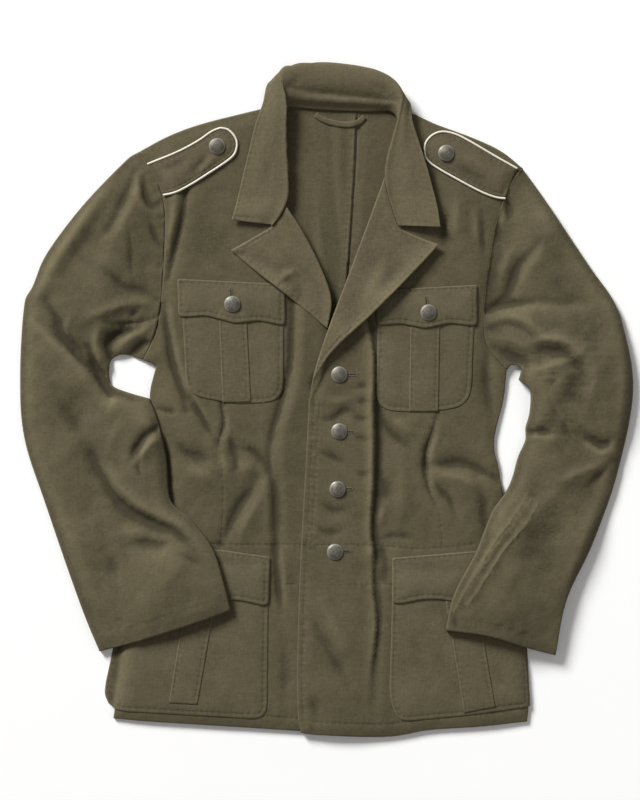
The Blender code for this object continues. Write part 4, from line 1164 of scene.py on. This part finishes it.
# %% Straps
STRAP_CREASES = {
    "right": [
        Crease(-1.8, 4, 4, 0.1, 0.2, [(-166, 262), (-150, 278), (-136, 296)]),
        Crease(1.8, 5, 4, 0.1, 0.2, [(-154, 262), (-142, 276), (-130, 290)]),
        Crease(-1.2, 4, 4, 0.3, 0.1, [(-204, 272), (-180, 276), (-160, 290)]),
        Crease(-2.6, 3, 4, 0.8, 0.8, [(-210, 275), (-201, 258), (-194, 245)]),
    ],
    "left": [
        Crease(1.5, 7, 7, 0.1, 0.2, [(200, 266), (176, 280), (150, 290)]),
        Crease(-1.5, 5, 5, 0.1, 0.2, [(196, 256), (172, 266), (148, 280)]),
        Crease(-2.6, 4, 3, 0.8, 0.8, [(221, 270), (216, 256), (208, 242)]),
    ],
}
STRAP_ENDS = {"right": ((-193, 243), (-211, 277)), "left": ((224, 272), (211, 239))}
for side in ("right", "left"):
    lay(f"shoulder_strap_{side}", STRAP_TWILL, "strap_twill", 2.4, ply=TWO_PLY, crown=1.6, crumple=0.2,
        creases=STRAP_CREASES[side], sewing=[Topstitch(*STRAP_ENDS[side], 3.2, 0.1)], bridge=3)

# %% [markdown]
# ## Collar
#
# A collar stands up from the neck seam, rolls over and falls to the shoulders, so it can't be cut as a
# height above the table. It is lofted instead: each row of a table is one section through it, from the neck
# seam over the ridge to the outer edge, and smooth lines join the sections from notch to notch.

# %% Collar sections
Section = namedtuple("Section", "seam ridge fall")
COLLAR_SECTIONS = [
    Section((-65.5, 204.5, 6.5), (-63.5, 206.5, 12.0), (-112, 212, 15.0)),
    Section((-56, 217, 6.0), (-54, 219, 13.0), (-109, 222, 14.0)),
    Section((-48, 238, 6.0), (-45, 239, 12.0), (-104, 242, 9.0)),
    Section((-48, 262, 6.5), (-44.5, 262, 12.5), (-99, 263, 9.0)),
    Section((-50, 295, 7.0), (-46.5, 295, 14.5), (-92, 292, 9.5)),
    Section((-51, 325, 7.5), (-47, 327, 17.0), (-84, 325, 9.5)),
    Section((-50, 341, 6.5), (-47, 352, 19.0), (-75.5, 349, 8.0)),
    Section((-46, 346, 5.0), (-53, 388, 18.0), (-67, 375, 4.5)),
    Section((-36, 346, 3.6), (-37, 394.5, 17.0), (-48, 372, 2.4)),
    Section((-15, 344, 3.4), (-12, 397.5, 15.5), (-17, 366, 1.6)),
    Section((20, 342, 3.4), (22, 395.5, 15.0), (20, 363, 1.6)),
    Section((50, 341, 3.4), (55, 390, 15.5), (54, 362, 1.6)),
    Section((66, 342, 3.6), (79, 376.5, 18.0), (85, 358, 2.4)),
    Section((76, 341, 5.0), (89, 360, 21.0), (98, 350, 12.0)),
    Section((84, 332, 7.0), (85, 335, 22.0), (101, 329, 19.0)),
    Section((79, 306, 7.0), (77, 305, 20.0), (110.5, 299, 19.0)),
    Section((73, 284, 6.5), (71, 283, 17.5), (118, 275, 19.0)),
    Section((71, 263, 6.5), (69, 262, 15.0), (124, 253, 19.0)),
    Section((75, 240, 5.5), (73, 239, 13.0), (130, 230, 19.0)),
    Section((86, 205, 5.5), (84.5, 205.5, 13.0), (134, 203.5, 20.0)),
]
STAND = [(0.4, 0.12), (0.8, 0.07)]  # share of the way from seam to ridge, and how much it bulges there
FALL = [(0.14, -0.4), (0.38, 0.6), (0.7, 0.0)]  # share of the way from ridge to fall, and mm of lift there
COLLAR_PLY = 2.0
COLLAR_STITCH = 4.5  # mm in from the outer edge
STATIONS_BETWEEN = 210
PLACES_BETWEEN = 30  # across each station
STAND_CREASES = [
    Crease(-4.2, 7, 4, 0.5, 0.5, [(-44, 368), (-20, 363), (10, 360), (45, 357), (80, 353), (92, 351)]),
    Crease(3.0, 4, 4, 0.5, 0.4, [(-46, 356), (-20, 354), (12, 352), (46, 350), (74, 348)]),
    Crease(-2.6, 3, 3, 0.5, 0.4, [(-46, 349), (-18, 346), (20, 345), (52, 344), (76, 345)]),
    Crease(-2.0, 4, 3, 0.3, 0.2, [(-44, 385), (-36, 376), (-30, 370)]),
    Crease(-1.8, 6, 6, 0.2, 0.4, [(44, 376), (64, 368), (84, 358)]),
]
COLLAR_CREASES = [
    Crease(-2.1, 5, 6, 0.2, 0.2, [(84, 292), (74, 268), (76, 236)]),
    Crease(1.5, 9, 9, 0.1, 0.1, [(100, 300), (98, 270), (104, 236)]),
    Crease(1.4, 9, 9, 0.1, 0.1, [(-70, 320), (-78, 280), (-84, 240)]),
    Crease(-1.2, 8, 8, 0.1, 0.1, [(-60, 300), (-66, 262), (-84, 226)]),
]


def beside_ends(length, count):
    """Places along a length, close together at both ends and even between."""
    near = np.array([0, 0.4, 1.0, 2.0])
    return np.concatenate([near, np.linspace(4, length - 4, count), length - near[::-1]])


def at(line, places):
    """The points at these distances along a line."""
    along = lengths(line)
    return np.column_stack([np.interp(places, along, column) for column in line.T])


def collar_grid():
    """Points of the collar's middle surface, by section and by place from seam to fall."""
    rows = smooth([sum(section, ()) for section in COLLAR_SECTIONS], 4)
    rows = at(rows, beside_ends(lengths(rows)[-1], STATIONS_BETWEEN))
    grid = []
    for row in rows:
        seam, ridge, fall = row[0:3], row[3:6], row[6:9]
        leaning = np.hypot(*(ridge - seam)[:2])
        stand = [seam + share * (ridge - seam) + (0, 0, lift * leaning + 1) for share, lift in STAND]
        turned = [ridge + share * (fall - ridge) + (0, 0, lift) for share, lift in FALL]
        line = smooth([seam, *stand, ridge, *turned, fall], 0.8)
        grid.append(at(line, beside_ends(lengths(line)[-1], PLACES_BETWEEN)))
    return np.array(grid)


def spread(lift, rounds):
    """A grid of lifts with a soft slope round each raised place."""
    for _ in range(rounds):
        wide = np.pad(lift, 1, mode="edge")
        around = 0.25 * (wide[:-2, 1:-1] + wide[2:, 1:-1] + wide[1:-1, :-2] + wide[1:-1, 2:])
        lift = np.maximum(lift, 0.4 * lift + 0.6 * around)
    return lift


middle = collar_grid()
stations, across = middle.shape[:2]
paces = np.linalg.norm(np.diff(middle, axis=1), axis=2)
from_seam = np.concatenate([np.zeros((stations, 1)), np.cumsum(paces, axis=1)], axis=1)
outer = middle[:, -1]
from_notch = np.repeat(lengths(outer)[:, None], across, axis=1)
from_fall = from_seam[:, -1:] - from_seam
from_end = np.minimum(from_notch, from_notch[-1:] - from_notch)
turned = ease((from_seam / from_seam[:, -1:] - 0.35) / 0.2)
flat_places = middle.reshape(-1, 3)[:, :2]
rise_of_stand = np.hypot(*(middle[:, :, :2] - middle[:, :1, :2]).T).T
fall_rise = creased(flat_places, COLLAR_CREASES) + 0.4 * waves(flat_places, 34, 3.0)
stand_rise = creased(flat_places, STAND_CREASES).reshape(stations, across) * ease(rise_of_stand / 12)
middle[:, :, 2] += turned * fall_rise.reshape(stations, across) + (1 - turned) * stand_rise
needed = PILE.tops(flat_places, 1.5).reshape(stations, across) + 0.5 * COLLAR_PLY
middle[:, :, 2] += spread(np.clip(needed - middle[:, :, 2], 0, None), 12)
print("collar grid:", stations, "by", across)

# %% Collar as a thick sheet
way_round = np.gradient(middle, axis=0)
way_over = np.gradient(middle, axis=1)
out = np.cross(way_round, way_over)
out /= np.maximum(np.linalg.norm(out, axis=2), 1e-9)[:, :, None]
rim = np.minimum(np.minimum(from_seam, from_fall), from_end)
near_rim = 1 - np.clip(rim / EDGE_ROUND, 0, 1)
half = 0.5 * COLLAR_PLY * (0.3 + 0.7 * np.sqrt(1 - near_rim**2))
stitch = np.where(from_fall > COLLAR_STITCH, np.abs(from_end - COLLAR_STITCH), NO_STITCH)
stitch = np.where(turned > 0.5, np.minimum(np.abs(from_fall - COLLAR_STITCH), stitch), NO_STITCH)
outside = middle + out * (half - sunk(stitch))[:, :, None]
within = middle - out * half[:, :, None]
total = stations * across
sides = []
for i in range(stations - 1):
    for j in range(across - 1):
        a, b = i * across + j, (i + 1) * across + j
        sides += [(a, b, b + 1, a + 1), (total + a + 1, total + b + 1, total + b, total + a)]
border = [i * across for i in range(stations)] + [(stations - 1) * across + j for j in range(1, across)]
border += [i * across + across - 1 for i in reversed(range(stations - 1))] + list(range(across - 2, 0, -1))
sides += [(b, a, a + total, b + total) for a, b in zip(border, border[1:] + border[:1])]
along = np.where(np.abs(from_fall - COLLAR_STITCH) < 12, from_notch, from_seam)
marks = dict(rim=rim, stitch=stitch, along=along)
numbers = {key: np.tile(values.ravel(), 2) for key, values in marks.items()}
corners = np.vstack([outside.reshape(-1, 3), within.reshape(-1, 3)])
collar = mesh_of("collar_cloth", corners, sides, COLLAR_TWILL, **numbers)
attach(collar, "root")
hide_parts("collar")
float(lengths(outer)[-1]) * MM
PILE.add(outside.reshape(-1, 3), np.array([side for side in sides if max(side) < total]))

# %% [markdown]
# ## Corded edge of the straps
#
# White cord runs round each strap between its two plies and ends at the sleeve. A cord follows a path, so
# Geometry Nodes sweep a small circle along a line. The tree gets its radius as a named input, and the
# result is baked to a plain mesh.

# %% Geometry Nodes helper
class Tree:
    """A Geometry Nodes tree with named inputs, made node by node."""

    def __init__(self, name, **inputs):
        self.tree = bpy.data.node_groups.new(name, "GeometryNodeTree")
        self.tree.interface.new_socket("Geometry", in_out="INPUT", socket_type="NodeSocketGeometry")
        self.identifiers = {}
        for key, kind in inputs.items():
            socket = self.tree.interface.new_socket(key, in_out="INPUT", socket_type=kind)
            self.identifiers[key] = socket.identifier
        self.tree.interface.new_socket("Geometry", in_out="OUTPUT", socket_type="NodeSocketGeometry")
        self.inputs = self.tree.nodes.new("NodeGroupInput").outputs

    def add(self, kind, settings=None, values=None, output=0):
        return new_node(self.tree, kind, settings, values).outputs[output]

    def finish(self, geometry, look):
        real = self.add("GeometryNodeRealizeInstances", None, {"Geometry": geometry})
        dressed = self.add("GeometryNodeSetMaterial", None, {"Geometry": real, "Material": look})
        self.tree.links.new(dressed, self.tree.nodes.new("NodeGroupOutput").inputs[0])

    def baked(self, name, mesh, look, **values):
        """The tree's result on a mesh, as a plain object."""
        guide = bpy.data.objects.new(name + "_guide", mesh)
        bpy.context.scene.collection.objects.link(guide)
        modifier = guide.modifiers.new("tree", "NODES")
        modifier.node_group = self.tree
        for key, value in values.items():
            modifier[self.identifiers[key]] = value
        depsgraph = bpy.context.evaluated_depsgraph_get()
        result = bpy.data.meshes.new_from_object(guide.evaluated_get(depsgraph))
        bpy.data.objects.remove(guide, do_unlink=True)
        result.materials.clear()
        result.materials.append(look)
        result.shade_smooth()
        obj = bpy.data.objects.new(name, result)
        bpy.context.scene.collection.objects.link(obj)
        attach(obj, "root")
        return obj


def paths_mesh(name, paths):
    """Polylines as the edges of one mesh, in metres."""
    points, edges = [], []
    for path in paths:
        edges += [(len(points) + i, len(points) + i + 1) for i in range(len(path) - 1)]
        points += (np.asarray(path) * MM).tolist()
    mesh = bpy.data.meshes.new(name)
    mesh.from_pydata(points, edges, [])
    return mesh


print("tree helper ready")

# %% Cord
CORD_RADIUS = 1.25
CORD_GAP = 0.2  # mm between the strap's edge and the cord

board = Board("white cord", 0.75, Sheen_Weight=0.15)
mottle = board.speckle(400, 2)
CORD_WHITE = board.finish(
    board.blend((mottle * 1.4 + 0.5).held(), linear(206, 198, 178), linear(238, 232, 216)),
    bump=mottle * 0.25,
)

cord_tree = Tree("swept cord", Radius="NodeSocketFloat")
curve = cord_tree.add("GeometryNodeMeshToCurve", None, {"Mesh": cord_tree.inputs["Geometry"]})
circle = cord_tree.add("GeometryNodeCurvePrimitiveCircle", None,
                       {"Resolution": 12, "Radius": cord_tree.inputs["Radius"]})
swept = cord_tree.add("GeometryNodeCurveToMesh", None,
                      {"Curve": curve, "Profile Curve": circle, "Fill Caps": True})
cord_tree.finish(swept, CORD_WHITE)

for side in ("right", "left"):
    edge = softened(upper_side(f"shoulder_strap_{side}")[2])
    path = moved_in(along_edge(edge, *STRAP_ENDS[side]), -CORD_RADIUS - CORD_GAP)
    seat = np.maximum(PILE.tops(path, 1.2), PILE.tops(moved_in(path, 3.5), 1.0) - TWO_PLY - GAP)
    seat = np.convolve(np.pad(seat, 4, mode="edge"), np.ones(9) / 9, "valid")
    guide = paths_mesh("cord path", [np.column_stack([path, seat + CORD_RADIUS])])
    cord = cord_tree.baked(f"strap_cord_{side}", guide, CORD_WHITE, Radius=CORD_RADIUS * MM)
    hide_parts(f"strap_piping_{side}")
    print(cord.name, len(cord.data.polygons), "faces")

# %% [markdown]
# ## Buttons
#
# The buttons are pressed from sheet metal and painted grey: a low dome with a pebbled face, whose edge
# turns under. A turned shape is a profile spun round an axis. The pebbles are a bump, and the paint is
# rubbed off their tops and off the edge, where metal shows.

# %% Buttons
BUTTON_PROFILE = [
    (0, 5.2), (1.6, 5.14), (3.4, 4.92), (5.2, 4.46), (6.8, 3.84), (8.0, 3.2), (8.8, 2.66), (9.3, 2.24),
    (9.6, 1.86), (9.7, 1.5), (9.6, 1.2), (9.2, 1.0), (8.4, 0.95), (6.5, 1.0), (3.1, 1.1), (2.8, 1.0),
    (2.8, 0.2), (2.4, 0), (0, 0),
]
TURNS = 64
BUTTON_SINK = 1.2  # mm that a button presses into the cloth

board = Board("button metal", 0.5, Metallic=0.35, Coat_Weight=0.08, Coat_Roughness=0.4)
pebble = board.add("ShaderNodeTexVoronoi", dict(feature="SMOOTH_F1"),
                   dict(Vector=board.place(), Scale=1000), output="Distance")
reach = board.attribute("from_axis")
face = 1 - ((reach - 7.6) * 3 + 0.5).held()
stain = board.speckle(140, 3)
bare = (0.55 - pebble * 0.9 * face + stain * 1.2 + (reach - 9.1).bell(0.4) * 0.3).held()
BUTTON_METAL = board.finish(board.blend(bare, linear(84, 80, 70), linear(150, 146, 134)),
                            0.62 - bare * 0.2, (1 - pebble) * face * 0.25 + stain * 0.1)


def turned_shape(profile):
    """A closed shape from a profile of radius and height, spun round the vertical axis."""
    points, faces, reach = [(0, 0, profile[0][1]), (0, 0, profile[-1][1])], [], [0.0, 0.0]
    rings = profile[1:-1]
    for radius, height in rings:
        for k in range(TURNS):
            angle = 2 * math.pi * k / TURNS
            points.append((radius * math.cos(angle), radius * math.sin(angle), height))
            reach.append(radius)
    for k in range(TURNS):
        after = (k + 1) % TURNS
        faces.append((0, 2 + k, 2 + after))
        for j in range(len(rings) - 1):
            high, low = 2 + j * TURNS, 2 + (j + 1) * TURNS
            faces.append((high + k, low + k, low + after, high + after))
        last = 2 + (len(rings) - 1) * TURNS
        faces.append((1, last + after, last + k))
    return np.array(points), faces, reach


for node in sorted(name for name in frame["nodes"] if "_button_" in name):
    low, high = (np.array(corner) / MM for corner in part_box(node))
    points, faces, reach = turned_shape(BUTTON_PROFILE)
    spot = np.array([(low[0] + high[0]) / 2, (low[1] + high[1]) / 2])
    ring = spot + 8 * np.array([(math.cos(a), math.sin(a)) for a in np.linspace(0, 2 * math.pi, 16)])
    seat = max(low[2], PILE.tops(np.vstack([spot, ring])).max() - BUTTON_SINK)
    metal = mesh_of(f"{node}_metal", points + (*spot, seat), faces, BUTTON_METAL, from_axis=reach)
    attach(metal, "root")
    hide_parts(node)
print("buttons:", len([o for o in bpy.data.objects if o.name.endswith("_metal")]))

# %% [markdown]
# ## Thread
#
# Every stitched line was kept while the sheets were laid. A stitch is a tiny grain of thread, and the
# same grain is repeated at an even pitch along each line, which is what Geometry Nodes are for. A
# buttonhole is the same tree with its grains turned across the line and set close together.

# %% Stitches
board = Board("olive thread", 0.7, Sheen_Weight=0.2)
twist = board.speckle(900, 2)
THREAD = board.finish(board.blend((twist * 1.5 + 0.5).held(), linear(90, 83, 63), linear(104, 96, 74)),
                      bump=twist * 0.2)

stitch_tree = Tree("stitches along lines", Pitch="NodeSocketFloat", Size="NodeSocketVector",
                   Turn="NodeSocketFloat", Unevenness="NodeSocketFloat", Seed="NodeSocketInt")
given = stitch_tree.inputs
curve = stitch_tree.add("GeometryNodeMeshToCurve", None, {"Mesh": given["Geometry"]})
spots = stitch_tree.add("GeometryNodeCurveToPoints", dict(mode="LENGTH"),
                        {"Curve": curve, "Length": given["Pitch"]})
along = stitch_tree.add("FunctionNodeAlignRotationToVector", dict(axis="X"),
                        {"Vector": spots.node.outputs["Tangent"]})
least = stitch_tree.add("ShaderNodeMath", dict(operation="MULTIPLY"), {0: given["Unevenness"], 1: -1.0})
random = stitch_tree.add("FunctionNodeRandomValue", dict(data_type="FLOAT"),
                         {2: least, 3: given["Unevenness"], 8: given["Seed"]}, output=1)
angle = stitch_tree.add("ShaderNodeMath", dict(operation="ADD"), {0: given["Turn"], 1: random})
turn = stitch_tree.add("FunctionNodeAxisAngleToRotation", None, {"Axis": (0, 0, 1), "Angle": angle})
facing = stitch_tree.add("FunctionNodeRotateRotation", dict(rotation_space="LOCAL"),
                         {"Rotation": along, "Rotate By": turn})
grain = stitch_tree.add("GeometryNodeMeshUVSphere", None, {"Segments": 6, "Rings": 4, "Radius": 0.5})
placed = stitch_tree.add("GeometryNodeInstanceOnPoints", None,
                         {"Points": spots, "Instance": grain, "Rotation": facing, "Scale": given["Size"]})
stitch_tree.finish(placed, THREAD)

STITCH = dict(Pitch=2.6 * MM, Size=(2.1 * MM, 0.5 * MM, 0.26 * MM), Turn=0.0, Unevenness=0.12)
THREAD_SINK = 0.02  # mm that a stitch's middle lies below the cloth's surface


def on_surface(path, tree):
    """A line in plan laid on a sheet, in stretches where the sheet is under it."""
    stretches, current = [], []
    for x, y in path:
        hit = drop(tree, x, y)
        if hit is None:
            stretches.append(current)
            current = []
        else:
            current.append((x, y, hit.z - THREAD_SINK))
    return [stretch for stretch in stretches + [current] if len(stretch) > 1]


for number, (slot, lines) in enumerate(sorted(THREADS.items())):
    paths = [stretch for path, tree in lines for stretch in on_surface(path, tree)]
    guide = paths_mesh("stitch lines", paths)
    thread = stitch_tree.baked(f"stitches_{slot}", guide, THREAD, Seed=number, **STITCH)
    print(thread.name, len(paths), "lines,", len(thread.data.polygons), "faces")

# %% Stitches of the collar
fall_line = np.array([[np.interp(station[-1] - COLLAR_STITCH, station, column) for column in section.T]
                      for station, section in zip(from_seam, outside)])
along = from_notch[:, 0]
inner = np.where((along > COLLAR_STITCH) & (along < along[-1] - COLLAR_STITCH))[0]
ends = []
for place in (COLLAR_STITCH, along[-1] - COLLAR_STITCH):
    station = int(np.argmin(np.abs(along - place)))
    kept = (turned[station] > 0.5) & (from_fall[station] > COLLAR_STITCH)
    ends.append(outside[station][kept] - (0, 0, THREAD_SINK))
guide = paths_mesh("collar lines", [fall_line[inner] - (0, 0, THREAD_SINK)] + ends)
thread = stitch_tree.baked("stitches_collar", guide, THREAD, Seed=11, **STITCH)
print(thread.name, len(thread.data.polygons), "faces")

# %% Buttonholes
BUTTONHOLES = [
    [(12, 30), (35, 30)], [(12, -37), (33, -38)], [(10, -105), (30, -105)], [(7, -179), (28, -178)],
    [(-111, 110), (-113, 131)], [(120, 100), (117, 121)],
]
SLOT_HALF = 1.3  # mm from the middle of a buttonhole to the middle of its edge
SLIT_HALF = 0.45
THREAD_RISE = 0.2  # mm above the cloth
SLIT_RISE = 0.12
WHIP = dict(Pitch=0.62 * MM, Size=(2.0 * MM, 0.62 * MM, 0.7 * MM), Turn=math.pi / 2, Unevenness=0.25)

# Each buttonhole's slit is a thin dark sheet laid on the cloth: a painted shadow of the gap between its
# edges.
board = Board("painted slit shadow", 0.95)
SLIT_SHADOW = board.finish(board.blend(board.speckle(300), linear(30, 27, 20), linear(44, 40, 30)))

whipped, slits = [], []
for row in BUTTONHOLES:
    line = respaced(np.array(row, float), 1.2)
    round_end = line[-1] + 1.3 * (line[-1] - line[-2])
    outline = np.vstack([moved_in(line, SLOT_HALF), round_end, moved_in(line, -SLOT_HALF)[::-1]])
    whipped.append(np.column_stack([outline, PILE.tops(outline) - GAP + THREAD_RISE]))
    left, right = moved_in(line, SLIT_HALF), moved_in(line, -SLIT_HALF)
    left[-1] = right[-1] = line[-1]
    slits.append((np.vstack([left, right[::-1]]), len(line)))
holes = stitch_tree.baked("buttonhole_thread", paths_mesh("buttonholes", whipped), THREAD, Seed=21, **WHIP)
points, faces = [], []
for outline, count in slits:
    start = len(points)
    points += [(x, y, z - GAP + SLIT_RISE) for (x, y), z in zip(outline, PILE.tops(outline))]
    end = start + 2 * count - 1
    faces += [(start + i, end - i, end - 1 - i, start + i + 1) for i in range(count - 1)]
slit = mesh_of("buttonhole_slit_shadows", np.array(points), faces, SLIT_SHADOW)
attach(slit, "root")
print("buttonholes:", len(BUTTONHOLES), "with", len(holes.data.polygons), "faces of thread")

# %% [markdown]
# ## The table and the measurements
#
# The table is a plain pale board. Last, the box round the finished tunic and the box round the plain
# model are printed, because cloth may stand only a little proud of it.

# %% Table finish and sizes
board = Board("pale table", 0.9, Specular_IOR_Level=0.1)
grain = board.speckle(6)
paint = board.blend((grain + 0.5).held(), (0.96, 0.96, 0.955), (0.98, 0.98, 0.975))
table.data.materials.append(board.finish(paint))

visual_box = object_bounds()
for name, box in (("plain", CAD_BOX), ("finished", visual_box)):
    print(name, "box:", [[round(float(c) * 1000, 1) for c in corner] for corner in box])
triangles = sum(len(face.vertices) - 2 for obj in bpy.data.objects if obj.type == "MESH"
                for face in obj.data.polygons)
print("triangles:", triangles)
